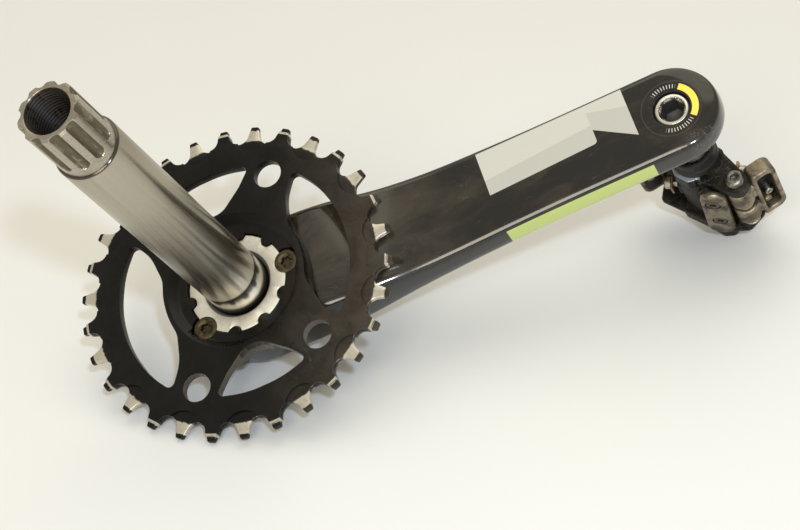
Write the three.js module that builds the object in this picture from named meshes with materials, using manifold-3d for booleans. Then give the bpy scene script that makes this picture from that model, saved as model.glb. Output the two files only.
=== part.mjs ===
// Drive-side bicycle crankset: carbon arm, spindle, direct-mount chainring and clipless pedal.
// Millimetres. Everything is drawn in the crank's own frame (X along the arm to the pedal,
// Z along the spindle, Z = 0 at the chainring's mid-plane) and then laid on the bench, +Z up.
import * as THREE from 'three';
import Module from 'manifold-3d';
import { mergeVertices } from 'three/addons/utils/BufferGeometryUtils.js';

const wasm = await Module();
wasm.setup();

// ---- driving dimensions -------------------------------------------------
const GAP = 0.3;

const CRANK_LENGTH = 175;
const TEETH = 30;
const CHAIN_PITCH = 12.7;
const FIRST_TOOTH_DEG = 78.1;
const ROLLER_R = 4.0;
const TIP_R = 63.7;
const WIDE_TIP_R = 61.8;
const TIP_HALF_DEG = 1.25;
const SEAT_HALF_DEG = 78;
const PLATE_HALF = 1.9;
const NARROW_HALF = 1.1;
const POCKET_R = 7.2;
const POCKET_CENTRE_R = 60.4;
const HUB_FACE_Z = -1.6;
const HUB_BACK_Z = -6.4;
const HUB_R = 27;
const HOLE_R = 5.6;
const HOLE_CENTRE_R = 43.85;
const HOLE_ANGLES = [55.1, -55.1, 124.9, -124.9];
// half a window's corners: radius, angle from the window's middle, easing radius
const SIDE_WINDOW = [
  [29, 8, 3], [29.5, 24, 5], [37.5, 39.5, 3], [47.9, 43.5, 4.5], [47.7, 30, 5], [47.7, 10, 5],
];
const END_WINDOW = [[28.8, 7, 3], [38, 19.5, 3], [46.9, 24, 3.8], [46.9, 9, 3]];

const SPINDLE_R = 12;
const SPINDLE_SHOULDER_Z = 121.5;
const SPINDLE_END_Z = 148;
const SPINDLE_BORE_R = 9.6;
const SPINDLE_THREAD_R = 7.9;
const SPLINE_CREST_R = 11;
const SPLINE_GROOVE_R = 1.7;
const SPLINES = 10;
const FIRST_SPLINE_DEG = -54.5;

const BOSS_R = 19.75;
const BOSS_BODY_R = 17;
const BOSS_FACE_Z = -2.4;
const BOSS_BACK_Z = -31;
const CAP_R = 10.5;
const SCALLOPS = 10;
const SCALLOP_R = 2.7;
const SCALLOP_CENTRE_R = 20.1;
const BOLT_CENTRE_R = 20.3;
const BOLT_HEAD_R = 4.1;
const BOLT_ANGLES = [0, 108, -144];

const PEDAL_ANGLE_DEG = -27;
const THREAD_R = 6.9;
const INSERT_R = 9.6;
const HEX_SOCKET = 8;
const BODY_IN_Z = -60;
const BODY_OUT_Z = -104;
const CHEEK_OUT_Z = -99.6;
const PIN = { f: 16.6, t: -10.3, r: 1.6 };
const JAW = { in: -61, out: -94.6, angle: 37.8, start: 5.2, reach: 10.3, thick: 7.2 };
const KNUCKLES = [[-67, -77], [-81, -91]];
const KNUCKLE_R = 5;
const COILS = [[-77.5, -80.5], [-91.5, -95.4]];
const COIL = { r: 3.2, wire: 0.5, rise: 1.35, steps: 10 };
const CLAW_SCREW_Z = [-71, -86];
const CLAW_F = 6.4;
const CLAW_MID_Z = -78.5;
const SCREW_R = 1.5;
const TENSION = { t: 2.5, z: -80, tip: 8.2, head: 13.6, end: 16 };

// straight up from the bench, in the crank's own frame, when the crank lies on a chainring
// tooth, the outer edge of its hub and the pedal body
const BENCH_UP = [0.316, 0.489, 0.813];

// stations along the arm: distance from the spindle, half width, inner face, outer face
const ARM = [
  [0, 22.5, -7, -35],
  [22, 22.4, -7.2, -35],
  [40, 22, -9.8, -34.6],
  [60, 20.5, -14.5, -34],
  [80, 19.4, -16.7, -33.6],
  [105, 18.6, -17, -33.2],
  [130, 18.2, -17, -33],
  [CRANK_LENGTH, 18.2, -17, -33],
];
const ARM_OUT_Z = -33;

// how many flat sides stand for a circle, by its size
const SIDES = { large: 40, medium: 28, small: 18, tiny: 10 };

const MATERIALS = {
  carbon: { color: 0x24211e, roughness: 0.28, metalness: 0 },
  foam: { color: 0xc9c2a8, roughness: 0.9, metalness: 0 },
  black: { color: 0x1c1b1a, roughness: 0.5, metalness: 0.4 },
  steel: { color: 0xb5afa2, roughness: 0.35, metalness: 1 },
  bright: { color: 0xd0ccc2, roughness: 0.25, metalness: 1 },
  brass: { color: 0x8d7442, roughness: 0.45, metalness: 1 },
  bronze: { color: 0x77705f, roughness: 0.45, metalness: 1 },
  plastic: { color: 0x20201f, roughness: 0.6, metalness: 0 },
};

// ---- small tools --------------------------------------------------------
const rad = THREE.MathUtils.degToRad;
const polar = (r, deg) => [r * Math.cos(rad(deg)), r * Math.sin(rad(deg))];

function signedVolume(position, index) {
  const [a, b, c] = [new THREE.Vector3(), new THREE.Vector3(), new THREE.Vector3()];
  let sum = 0;
  for (let i = 0; i < index.length; i += 3) {
    a.fromBufferAttribute(position, index[i]);
    b.fromBufferAttribute(position, index[i + 1]);
    c.fromBufferAttribute(position, index[i + 2]);
    sum += a.dot(b.cross(c));
  }
  return sum;
}

// a closed three.js geometry as a solid, its faces turned outwards
function solid(geometry) {
  const bare = geometry.clone();
  bare.deleteAttribute('normal');
  bare.deleteAttribute('uv');
  const merged = mergeVertices(bare, 1e-4);
  const index = Uint32Array.from(merged.index.array);
  if (signedVolume(merged.attributes.position, index) < 0) index.reverse();
  const vertProperties = Float32Array.from(merged.attributes.position.array);
  return new wasm.Manifold(new wasm.Mesh({ numProp: 3, vertProperties, triVerts: index }));
}

function geometryOf(body) {
  const mesh = body.getMesh();
  const geometry = new THREE.BufferGeometry();
  geometry.setAttribute('position', new THREE.BufferAttribute(mesh.vertProperties, 3));
  geometry.setIndex(new THREE.BufferAttribute(mesh.triVerts, 1));
  geometry.computeVertexNormals();
  return geometry;
}

function addPiece(group, name, body, finish) {
  const material = new THREE.MeshStandardMaterial(MATERIALS[finish]);
  const mesh = new THREE.Mesh(geometryOf(body), material);
  mesh.name = name;
  group.add(mesh);
}

const joined = (bodies) => bodies.reduce((whole, body) => whole.add(body));
const cutBy = (body, cutters) => cutters.reduce((whole, cutter) => whole.subtract(cutter), body);

// round bar along Z between two heights
function bar(r, z0, z1, sides = SIDES.medium, x = 0, y = 0) {
  const geometry = new THREE.CylinderGeometry(r, r, Math.abs(z1 - z0), sides);
  geometry.rotateX(Math.PI / 2).translate(x, y, (z0 + z1) / 2);
  return solid(geometry);
}

// turned solid: profile of [radius, z] pairs, closed on itself or ending on the axis
function turned(profile, sides = SIDES.medium) {
  const points = profile.map(([r, z]) => new THREE.Vector2(r, z));
  return solid(new THREE.LatheGeometry(points, sides).rotateX(Math.PI / 2));
}

// tube wall between two radii
function sleeve(inner, outer, z0, z1, sides = SIDES.medium) {
  return turned([[inner, z0], [outer, z0], [outer, z1], [inner, z1], [inner, z0]], sides);
}

function plate(shape, z0, z1, curveSegments = 4) {
  const settings = { depth: Math.abs(z1 - z0), bevelEnabled: false, curveSegments };
  return solid(new THREE.ExtrudeGeometry(shape, settings).translate(0, 0, Math.min(z0, z1)));
}

function block(x0, x1, y0, y1, z0, z1) {
  const geometry = new THREE.BoxGeometry(x1 - x0, y1 - y0, Math.abs(z1 - z0));
  return solid(geometry.translate((x0 + x1) / 2, (y0 + y1) / 2, (z0 + z1) / 2));
}

// outline through [x, y, corner radius] points, every corner eased by its radius
function roundedOutline(corners) {
  const shape = new THREE.Shape();
  const count = corners.length;
  corners.forEach(([x, y, r], i) => {
    const here = new THREE.Vector2(x, y);
    const before = new THREE.Vector2(...corners[(i + count - 1) % count]);
    const after = new THREE.Vector2(...corners[(i + 1) % count]);
    const into = here.clone().add(before.sub(here).setLength(r));
    const out = here.clone().add(after.sub(here).setLength(r));
    if (i === 0) shape.moveTo(into.x, into.y);
    else shape.lineTo(into.x, into.y);
    shape.quadraticCurveTo(x, y, out.x, out.y);
  });
  shape.closePath();
  return shape;
}

// capsule outline between two points
function capsule(x0, y0, x1, y1, r) {
  const along = Math.atan2(y1 - y0, x1 - x0);
  const shape = new THREE.Shape();
  shape.absarc(x1, y1, r, along - Math.PI / 2, along + Math.PI / 2);
  shape.absarc(x0, y0, r, along + Math.PI / 2, along + (3 * Math.PI) / 2);
  shape.closePath();
  return shape;
}

// ---- crank arm ----------------------------------------------------------
// half of the arm's plan outline, pulled in by an inset: hub circle, sides, pedal-end circle
function armOutline(inset, steps) {
  const points = [];
  const [hubR, tipR] = [ARM[0][1] - inset, ARM[ARM.length - 1][1] - inset];
  for (let i = 0; i <= steps; i += 1) {
    const a = Math.PI - (i * Math.PI) / 2 / steps;
    points.push([hubR * Math.cos(a), hubR * Math.sin(a)]);
  }
  for (const [x, width] of ARM.slice(1, -1)) points.push([x, width - inset]);
  for (let i = 0; i <= steps; i += 1) {
    const a = Math.PI / 2 - (i * Math.PI) / 2 / steps;
    points.push([CRANK_LENGTH + tipR * Math.cos(a), tipR * Math.sin(a)]);
  }
  return points;
}

function faceHeight(x, column) {
  const last = ARM.length - 1;
  if (x <= ARM[0][0]) return ARM[0][column];
  if (x >= ARM[last][0]) return ARM[last][column];
  const i = ARM.findIndex((row) => row[0] >= x);
  const [low, high] = [ARM[i - 1], ARM[i]];
  return THREE.MathUtils.mapLinear(x, low[0], high[0], low[column], high[column]);
}

// skin through levels of [inset, height above the inner face or the outer face]
function armSolid(innerLevels, outerLevels, steps) {
  const inner = innerLevels.map(([inset, z]) => [inset, z, 2]);
  const outer = outerLevels.map(([inset, z]) => [inset, z, 3]);
  const levels = [...inner, ...outer];
  const half = armOutline(0, steps).length;
  const ring = 2 * half - 2;
  const vertices = [];
  for (const [inset, offset, column] of levels) {
    const side = armOutline(inset, steps);
    const mirrored = side.slice(1, -1).reverse().map(([x, y]) => [x, -y]);
    for (const [x, y] of [...side, ...mirrored]) vertices.push(x, y, faceHeight(x, column) + offset);
  }
  const index = [];
  for (let level = 0; level + 1 < levels.length; level += 1) {
    for (let i = 0; i < ring; i += 1) {
      const [a, b] = [level * ring + i, level * ring + ((i + 1) % ring)];
      index.push(a, b, b + ring, a, b + ring, a + ring);
    }
  }
  const closeFace = (base, flip) => {
    for (let i = 0; i + 1 < half; i += 1) {
      const [a, b] = [base + i, base + i + 1];
      const [c, d] = [base + ((ring - i) % ring), base + ring - i - 1];
      const quad = flip ? [a, c, b, b, c, d] : [a, b, c, b, d, c];
      for (const tri of [quad.slice(0, 3), quad.slice(3)]) {
        if (new Set(tri).size === 3) index.push(...tri);
      }
    }
  };
  closeFace(0, true);
  closeFace((levels.length - 1) * ring, false);
  const geometry = new THREE.BufferGeometry();
  geometry.setAttribute('position', new THREE.BufferAttribute(new Float32Array(vertices), 3));
  geometry.setIndex(index);
  return solid(geometry);
}

function hollowOf(extra) {
  const innerLevels = [[5.6 + extra, -3 - extra], [3 + extra, -6.5]];
  const outerLevels = [[3 + extra, 7.5], [7 + extra, 3 + extra]];
  return armSolid(innerLevels, outerLevels, 4);
}

function armShell() {
  const innerLevels = [[2.4, 0], [0.8, -0.8], [0.25, -3], [0, -7.4]];
  const outerLevels = [[0, 7], [1.6, 3.2], [5, 1.1], [11, 0]];
  return cutBy(armSolid(innerLevels, outerLevels, 7), [
    hollowOf(0),
    bar(BOSS_BODY_R + GAP, -5, BOSS_BACK_Z - GAP),
    bar(CAP_R + GAP, BOSS_BACK_Z, -40),
    bar(INSERT_R + GAP, -10, -40, SIDES.medium, CRANK_LENGTH),
  ]);
}

function foamCore() {
  return cutBy(hollowOf(GAP), [
    bar(BOSS_BODY_R + 2 * GAP, -5, -40),
    bar(INSERT_R + 2 * GAP, -10, -40, SIDES.medium, CRANK_LENGTH),
  ]);
}

// ---- hub: spline boss, spindle, cap -------------------------------------
function scallopAngles() {
  return Array.from({ length: SCALLOPS }, (_, i) => (i * 360) / SCALLOPS);
}

function splineBoss() {
  const bore = SPINDLE_R + GAP;
  const body = turned([
    [bore, BOSS_FACE_Z - 3], [13.7, BOSS_FACE_Z - 3], [13.7, BOSS_FACE_Z], [BOSS_R, BOSS_FACE_Z],
    [BOSS_R, HUB_BACK_Z - 0.3], [BOSS_BODY_R, HUB_BACK_Z - 0.3], [BOSS_BODY_R, BOSS_BACK_Z],
    [bore, BOSS_BACK_Z], [bore, BOSS_FACE_Z - 3],
  ], SIDES.large);
  const scallops = scallopAngles().map((deg) => {
    return bar(SCALLOP_R, 0, -20, SIDES.tiny, ...polar(SCALLOP_CENTRE_R, deg));
  });
  const bolts = BOLT_ANGLES.map((deg) => {
    return bar(BOLT_HEAD_R + GAP, 0, HUB_BACK_Z + 0.6, SIDES.small, ...polar(BOLT_CENTRE_R, deg));
  });
  return cutBy(body, [...scallops, ...bolts]);
}

function spindle() {
  const body = turned([
    [SPINDLE_BORE_R, BOSS_BACK_Z + 4], [SPINDLE_R, BOSS_BACK_Z + 4],
    [SPINDLE_R, SPINDLE_SHOULDER_Z - 0.6],
    [SPINDLE_R - 0.6, SPINDLE_SHOULDER_Z], [SPLINE_CREST_R, SPINDLE_SHOULDER_Z],
    [SPLINE_CREST_R, SPINDLE_END_Z - 0.8], [SPLINE_CREST_R - 0.8, SPINDLE_END_Z],
    [SPINDLE_THREAD_R, SPINDLE_END_Z], [SPINDLE_THREAD_R, SPINDLE_SHOULDER_Z + 3],
    [SPINDLE_BORE_R, SPINDLE_SHOULDER_Z - 3], [SPINDLE_BORE_R, BOSS_BACK_Z + 4],
  ], 33);
  const grooves = Array.from({ length: SPLINES }, (_, i) => {
    const [x, y] = polar(SPLINE_CREST_R + 0.35, FIRST_SPLINE_DEG + (i * 360) / SPLINES);
    const start = SPINDLE_SHOULDER_Z + 5;
    return bar(SPLINE_GROOVE_R, start, SPINDLE_END_Z + 1, 8, x, y);
  });
  return cutBy(body, grooves);
}

function hubCap() {
  const back = BOSS_BACK_Z - 2 * GAP;
  return turned([
    [0, back - 3.2], [8, back - 3.2], [CAP_R, back - 2.6], [CAP_R, back], [9.2, back],
    [9.2, BOSS_BACK_Z + 3], [7.6, BOSS_BACK_Z + 3], [7.6, back - 1.2], [0, back - 1.2],
  ], SIDES.small);
}

// ---- chainring ----------------------------------------------------------
// tooth outline: roller seats on the pitch circle joined by straight flanks and flat tips
function toothOutline(tipR) {
  const step = 360 / TEETH;
  const pitchR = CHAIN_PITCH / 2 / Math.sin(Math.PI / TEETH);
  const points = [];
  for (let k = 0; k < TEETH; k += 1) {
    const tooth = FIRST_TOOTH_DEG + k * step;
    points.push(polar(tipR, tooth - TIP_HALF_DEG), polar(tipR, tooth + TIP_HALF_DEG));
    const [cx, cy] = polar(pitchR, tooth + step / 2);
    for (let a = SEAT_HALF_DEG; a >= -SEAT_HALF_DEG; a -= SEAT_HALF_DEG / 2) {
      const angle = rad(tooth + step / 2 + 180 + a);
      points.push([cx + ROLLER_R * Math.cos(angle), cy + ROLLER_R * Math.sin(angle)]);
    }
  }
  return new THREE.Shape(points.map(([x, y]) => new THREE.Vector2(x, y)));
}

function windowCut(centreDeg, corners) {
  const mirrored = corners.slice().reverse();
  const left = corners.map(([r, deg, ease]) => [...polar(r, centreDeg + deg), ease]);
  const right = mirrored.map(([r, deg, ease]) => [...polar(r, centreDeg - deg), ease]);
  return plate(roundedOutline([...left, ...right]), -8, 4, 2);
}

function chainring() {
  const narrowTeeth = Array.from({ length: TEETH / 2 }, (_, i) => {
    const deg = FIRST_TOOTH_DEG - (2 * i + 1) * (360 / TEETH);
    return bar(POCKET_R, -4, 4, 12, ...polar(POCKET_CENTRE_R, deg));
  });
  const wide = cutBy(plate(toothOutline(WIDE_TIP_R), -PLATE_HALF, PLATE_HALF), narrowTeeth);
  const all = plate(toothOutline(TIP_R), -NARROW_HALF, NARROW_HALF);
  const hub = bar(HUB_R + 4, HUB_BACK_Z, -1, SIDES.large);
  const dish = turned([
    [0, HUB_FACE_Z], [HUB_R - 3, HUB_FACE_Z], [HUB_R, PLATE_HALF + 0.01], [HUB_R, 5], [0, 5],
  ], SIDES.large);
  const cuts = [
    dish,
    bar(BOSS_R + GAP, -10, 5, SIDES.large),
    windowCut(0, SIDE_WINDOW), windowCut(180, SIDE_WINDOW),
    windowCut(90, END_WINDOW), windowCut(-90, END_WINDOW),
    ...HOLE_ANGLES.map((deg) => bar(HOLE_R, -10, 5, SIDES.small, ...polar(HOLE_CENTRE_R, deg))),
  ];
  const splineTeeth = scallopAngles().filter((deg) => !isBolt(deg)).map((deg) => {
    const [x, y] = polar(SCALLOP_CENTRE_R, deg);
    return bar(SCALLOP_R - GAP, HUB_BACK_Z, HUB_FACE_Z - 1, SIDES.tiny, x, y);
  });
  const bolts = BOLT_ANGLES.map((deg) => {
    return bar(BOLT_HEAD_R + GAP, -10, 5, SIDES.small, ...polar(BOLT_CENTRE_R, deg));
  });
  return cutBy(joined([cutBy(joined([wide, all, hub]), cuts), ...splineTeeth]), bolts);
}

function isBolt(deg) {
  return BOLT_ANGLES.some((bolt) => (bolt + 360) % 360 === deg);
}

function chainringBolt(deg) {
  const [x, y] = polar(BOLT_CENTRE_R, deg);
  const top = HUB_FACE_Z - 0.6;
  const head = turned([
    [0, HUB_BACK_Z + 1], [BOLT_HEAD_R - 0.1, HUB_BACK_Z + 1], [BOLT_HEAD_R - 0.1, top - 0.5],
    [BOLT_HEAD_R - 0.7, top], [2.1, top], [2.1, top - 2], [0, top - 2],
  ], SIDES.small);
  return head.translate([x, y, 0]);
}

// ---- pedal: everything in f (fore-aft), t (thickness) and z (along the axle) ------
function pedalInsert() {
  return sleeve(THREAD_R + GAP, INSERT_R, -17.3, ARM_OUT_Z + 0.3);
}

function hexHole(acrossFlats, z0, z1) {
  const cornerR = acrossFlats / Math.sqrt(3);
  return bar(cornerR, z0, z1, 6);
}

function pedalAxle() {
  const body = turned([
    [0, -101], [3.4, -101], [3.4, -92], [4.6, -91], [4.6, -84], [5.6, -82], [5.6, -61],
    [7.6, -59.5], [7.6, -38.5], [8.2, -38], [8.2, -34.9], [THREAD_R, -34.9],
    [THREAD_R, -18.8], [6.1, -17.9], [0, -17.9],
  ]);
  return body.subtract(hexHole(HEX_SOCKET, -27, -10));
}

function pedalWasher() {
  return sleeve(THREAD_R + GAP, 9, -34.6, ARM_OUT_Z - GAP);
}

function lockSleeve() {
  return sleeve(7.6 + GAP, 9.4, BODY_IN_Z + GAP, -50, SIDES.small);
}

function innerBush() {
  return sleeve(5.6 + GAP, 7.2, -79, -62, SIDES.small);
}

function outerBearing() {
  return sleeve(4.6 + GAP, 7.2, -90.6, -84.4, SIDES.small);
}

function axleNut() {
  return bar(6, -96.7, -92.5, 6).subtract(bar(3.4 + GAP, -100, -90, SIDES.small));
}

// a thin cheek that carries the pivot pins, and a thicker foot outside it
function outboardCheek() {
  const cheek = [
    [21.5, 3, 2], [21.3, -8, 3], [16.5, -14.9, 3.5], [6, -15.8, 2], [-3, -11.4, 3],
    [-21.5, -3, 2], [-21.3, 8, 3], [-16.5, 14.9, 3.5], [-6, 15.8, 2], [3, 11.4, 3],
  ];
  const foot = [
    [12, 7.3, 2], [12, -9, 3], [10, -15.4, 3], [5, -15.8, 2], [-3, -11.4, 3],
    [-12, -7.3, 2], [-12, 9, 3], [-10, 15.4, 3], [-5, 15.8, 2], [3, 11.4, 3],
  ];
  return joined([
    plate(roundedOutline(cheek), CHEEK_OUT_Z, -96, 4),
    plate(roundedOutline(foot), BODY_OUT_Z, CHEEK_OUT_Z + 0.1, 4),
  ]);
}

function pedalBody() {
  const solids = [
    outboardCheek(),
    plate(capsule(-PIN.f, -PIN.t, PIN.f, PIN.t, 4.8), -66, BODY_IN_Z, 5),
    bar(9.4, -97, BODY_IN_Z),
    block(-9.5, 9.5, -7.5, 7.5, -97, -65),
    block(8, 10.4, -0.6, 5.6, -84, -76),
    block(-10.4, -8, -5.6, 0.6, -84, -76),
    block(1, 10.6, -12.9, -6, -93, -66),
    block(-10.6, -1, 6, 12.9, -93, -66),
  ];
  const bore = turned([
    [0, -106], [7.6, -106], [7.6, -61], [7.7, -61], [7.7, -50], [0, -50],
  ]);
  const cuts = [bore];
  for (const side of [1, -1]) {
    cuts.push(bar(PIN.r + GAP, -105, -55, SIDES.tiny, side * PIN.f, side * PIN.t));
    cuts.push(alongF(bar(SCREW_R + GAP, 5, 20, SIDES.tiny), side));
    for (const z of CLAW_SCREW_Z) {
      cuts.push(alongT(bar(SCREW_R + GAP, -16, -9.6, SIDES.tiny), side, z));
    }
  }
  return cutBy(joined(solids), cuts);
}

// the pedal's second side is its first side turned half round about the axle
function turnedAbout(body, side) {
  return side === 1 ? body : body.rotate([0, 0, 180]);
}

// turn a bar on Z to point along t, through the fixed claw
function alongT(body, side, z) {
  return turnedAbout(body.rotate([-90, 0, 0]).translate([CLAW_F, 0, z]), side);
}

// turn a bar on Z to point along f, in line with the tension screw
function alongF(body, side) {
  return turnedAbout(body.rotate([0, 90, 0]).translate([0, TENSION.t, TENSION.z]), side);
}

function fixedClaw(side) {
  const flat = plate(capsule(0, -66.5, 0, -90.5, 5.2), 13.2, 16, 5);
  const upright = flat.rotate([90, 0, 0]).mirror([0, 0, 1]).translate([CLAW_F, 0, 2 * CLAW_MID_Z]);
  const screws = CLAW_SCREW_Z.flatMap((z) => [
    alongT(bar(SCREW_R + GAP, -20, -9, SIDES.tiny), 1, z),
    alongT(bar(2.8 + GAP, -20, -14.8, SIDES.small), 1, z),
  ]);
  return turnedAbout(cutBy(upright, screws), side);
}

function clawScrew(side, z) {
  const thread = bar(SCREW_R, -15.4, -9.9, SIDES.tiny);
  return alongT(thread.add(bar(2.8, -16.2, -15.1, SIDES.tiny)), side, z);
}

// from the jaw's own directions, out from its pivot pin, to the pedal's
function onPin(body) {
  return body.rotate([0, 0, JAW.angle]).translate([PIN.f, PIN.t, 0]);
}

function jawFrame() {
  const { start, reach, thick } = JAW;
  const height = JAW.in - JAW.out;
  const outline = roundedOutline([[0, 0, 1], [0, height, 1], [reach, height, 3], [reach, 0, 3]]);
  const opening = roundedOutline([
    [2.4, 3.2, 1.5], [2.4, height - 3.2, 1.5], [reach - 2.8, height - 4, 2], [reach - 2.8, 4, 2],
  ]);
  const frame = plate(outline, -thick / 2, thick / 2, 4).subtract(plate(opening, -thick, thick, 3));
  return onPin(frame.rotate([90, 0, 0]).translate([start, 0, JAW.out]));
}

function jaw(side) {
  const solids = [jawFrame()];
  for (const [z0, z1] of KNUCKLES) {
    solids.push(bar(KNUCKLE_R, z0, z1, SIDES.small, PIN.f, PIN.t));
    solids.push(onPin(block(0, JAW.start + 1, -2.6, 2.6, z0, z1)));
  }
  const hole = bar(PIN.r + GAP, -100, -60, SIDES.tiny, PIN.f, PIN.t);
  return turnedAbout(joined(solids).subtract(hole), side);
}

function pivotPin(side) {
  const pin = turned([
    [0, -99.4], [PIN.r, -99.4], [PIN.r, -59.6], [3.6, -59.6], [3.6, -57.6], [2.9, -57], [0, -57],
  ], SIDES.tiny);
  return turnedAbout(pin.translate([PIN.f, PIN.t, 0]), side);
}

class Helix extends THREE.Curve {
  constructor(radius, turns, z0, z1) {
    super();
    Object.assign(this, { radius, turns, z0, z1 });
  }

  getPoint(u, target = new THREE.Vector3()) {
    const a = u * this.turns * 2 * Math.PI;
    const z = THREE.MathUtils.lerp(this.z0, this.z1, u);
    return target.set(this.radius * Math.cos(a), this.radius * Math.sin(a), z);
  }
}

function torsionSpring(side, [z0, z1]) {
  const turns = Math.floor(Math.abs(z1 - z0) / COIL.rise);
  const path = new Helix(COIL.r, turns, z0 - COIL.wire, z1 + COIL.wire);
  const section = new THREE.Shape().absarc(0, 0, COIL.wire, 0, 2 * Math.PI);
  const steps = turns * COIL.steps;
  const settings = { steps, extrudePath: path, bevelEnabled: false, curveSegments: 2 };
  const coil = solid(new THREE.ExtrudeGeometry(section, settings));
  return turnedAbout(coil.translate([PIN.f, PIN.t, 0]), side);
}

function tensionScrew(side) {
  const thread = bar(SCREW_R, TENSION.tip, TENSION.head + 0.1, SIDES.tiny);
  const screw = thread.add(bar(2.5, TENSION.head, TENSION.end, SIDES.small));
  return alongF(screw.subtract(bar(1.2, TENSION.end - 1.4, TENSION.end + 1, 6)), side);
}

function tensionPlate(side) {
  const outer = TENSION.head - GAP;
  const nut = block(-3, 3, -3.4, 3.4, outer - 1, outer);
  return alongF(nut.subtract(bar(SCREW_R + GAP, 10, 15, SIDES.tiny)), side);
}

function endCap() {
  return turned([
    [0, -106], [7.2, -106], [8.4, -105.4], [8.4, BODY_OUT_Z - GAP], [7.3, BODY_OUT_Z - GAP],
    [7.3, -102], [5.6, -102], [5.6, -104.6], [0, -104.6],
  ], SIDES.small);
}

// ---- assembly -----------------------------------------------------------
function crankGroup() {
  const crank = new THREE.Group();
  addPiece(crank, 'crank_arm_shell', armShell(), 'carbon');
  addPiece(crank, 'arm_foam_core', foamCore(), 'foam');
  addPiece(crank, 'spline_boss', splineBoss(), 'bright');
  addPiece(crank, 'spindle', spindle(), 'steel');
  addPiece(crank, 'hub_cap', hubCap(), 'plastic');
  addPiece(crank, 'chainring', chainring(), 'black');
  BOLT_ANGLES.forEach((deg, i) => {
    addPiece(crank, `chainring_bolt_${i + 1}`, chainringBolt(deg), 'brass');
  });
  return crank;
}

function pedalGroup() {
  const pedal = new THREE.Group();
  pedal.position.set(CRANK_LENGTH, 0, 0);
  pedal.rotation.z = rad(PEDAL_ANGLE_DEG);
  addPiece(pedal, 'pedal_insert', pedalInsert(), 'black');
  addPiece(pedal, 'pedal_axle', pedalAxle(), 'bright');
  addPiece(pedal, 'pedal_washer', pedalWasher(), 'steel');
  addPiece(pedal, 'axle_lock_sleeve', lockSleeve(), 'plastic');
  addPiece(pedal, 'inner_bush', innerBush(), 'brass');
  addPiece(pedal, 'outer_bearing', outerBearing(), 'steel');
  addPiece(pedal, 'axle_nut', axleNut(), 'steel');
  addPiece(pedal, 'pedal_body', pedalBody(), 'black');
  addPiece(pedal, 'pedal_end_cap', endCap(), 'plastic');
  for (const [side, letter] of [[1, 'a'], [-1, 'b']]) {
    addPiece(pedal, `fixed_claw_${letter}`, fixedClaw(side), 'bronze');
    CLAW_SCREW_Z.forEach((z, i) => {
      addPiece(pedal, `claw_screw_${letter}${i + 1}`, clawScrew(side, z), 'steel');
    });
    addPiece(pedal, `jaw_${letter}`, jaw(side), 'bronze');
    addPiece(pedal, `pivot_pin_${letter}`, pivotPin(side), 'steel');
    COILS.forEach((span, i) => {
      addPiece(pedal, `torsion_spring_${letter}${i + 1}`, torsionSpring(side, span), 'steel');
    });
    addPiece(pedal, `tension_screw_${letter}`, tensionScrew(side), 'steel');
    addPiece(pedal, `tension_plate_${letter}`, tensionPlate(side), 'brass');
  }
  return pedal;
}

// lay the crank on the bench with its arm running along +X, centred over the origin
function onBench(crank) {
  const up = new THREE.Vector3(...BENCH_UP).normalize();
  const across = new THREE.Vector3().crossVectors(up, new THREE.Vector3(1, 0, 0)).normalize();
  const along = new THREE.Vector3().crossVectors(across, up);
  const benchAxes = new THREE.Matrix4().makeBasis(along, across, up);
  crank.quaternion.setFromRotationMatrix(benchAxes.transpose());
  const row = new THREE.Group();
  row.add(crank);
  row.updateMatrixWorld(true);
  const box = new THREE.Box3().setFromObject(row, true);
  const centre = box.getCenter(new THREE.Vector3());
  crank.position.set(-centre.x, -centre.y, -box.min.z);
  return row;
}

const crank = crankGroup();
crank.add(pedalGroup());
const crankset = onBench(crank);

export default crankset;
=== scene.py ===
from math import atan2, cos, hypot, pi, radians, sin, sqrt, tan

import bmesh
import bpy
from mathutils import Matrix, Vector
from mathutils.geometry import delaunay_2d_cdt


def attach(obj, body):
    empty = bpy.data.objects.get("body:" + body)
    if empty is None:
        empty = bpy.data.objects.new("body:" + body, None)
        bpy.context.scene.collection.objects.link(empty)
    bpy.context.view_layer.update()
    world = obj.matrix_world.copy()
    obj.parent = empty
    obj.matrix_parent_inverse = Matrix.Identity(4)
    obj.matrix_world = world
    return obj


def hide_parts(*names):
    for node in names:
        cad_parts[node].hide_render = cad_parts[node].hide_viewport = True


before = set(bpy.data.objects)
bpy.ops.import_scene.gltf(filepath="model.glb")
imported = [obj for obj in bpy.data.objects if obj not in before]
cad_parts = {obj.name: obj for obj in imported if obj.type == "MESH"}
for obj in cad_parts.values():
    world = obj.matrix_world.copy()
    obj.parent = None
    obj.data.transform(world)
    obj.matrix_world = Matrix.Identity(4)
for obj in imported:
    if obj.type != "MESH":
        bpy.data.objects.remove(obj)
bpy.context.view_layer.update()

# ---- sizes in millimetres, in the crank's own frame: X along the arm, Z along the spindle ----
BENCH_UP = Vector((0.316, 0.489, 0.813)).normalized()
CRANK_LENGTH = 175.0
PEDAL_ANGLE = radians(-27)

TEETH = 30
FIRST_TOOTH = 78.1
PITCH_R = 12.7 / 2 / sin(pi / TEETH)
ROLLER_R = 4.0
TIP_R = 63.7
WIDE_TIP_R = 61.8
# half thickness of the narrow teeth, and of the ring with its wide teeth
NARROW_HALF, WIDE_HALF = 1.1, 1.9
# heights between which a cutter passes right through the ring
RING_CUT = (-9, 5)
POCKET_R = 7.2
POCKET_CENTRE_R = 60.4
HOLE_R = 5.6
HOLE_CENTRE_R = 43.85
HOLE_ANGLES = (55.1, -55.1, 124.9, -124.9)
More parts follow.
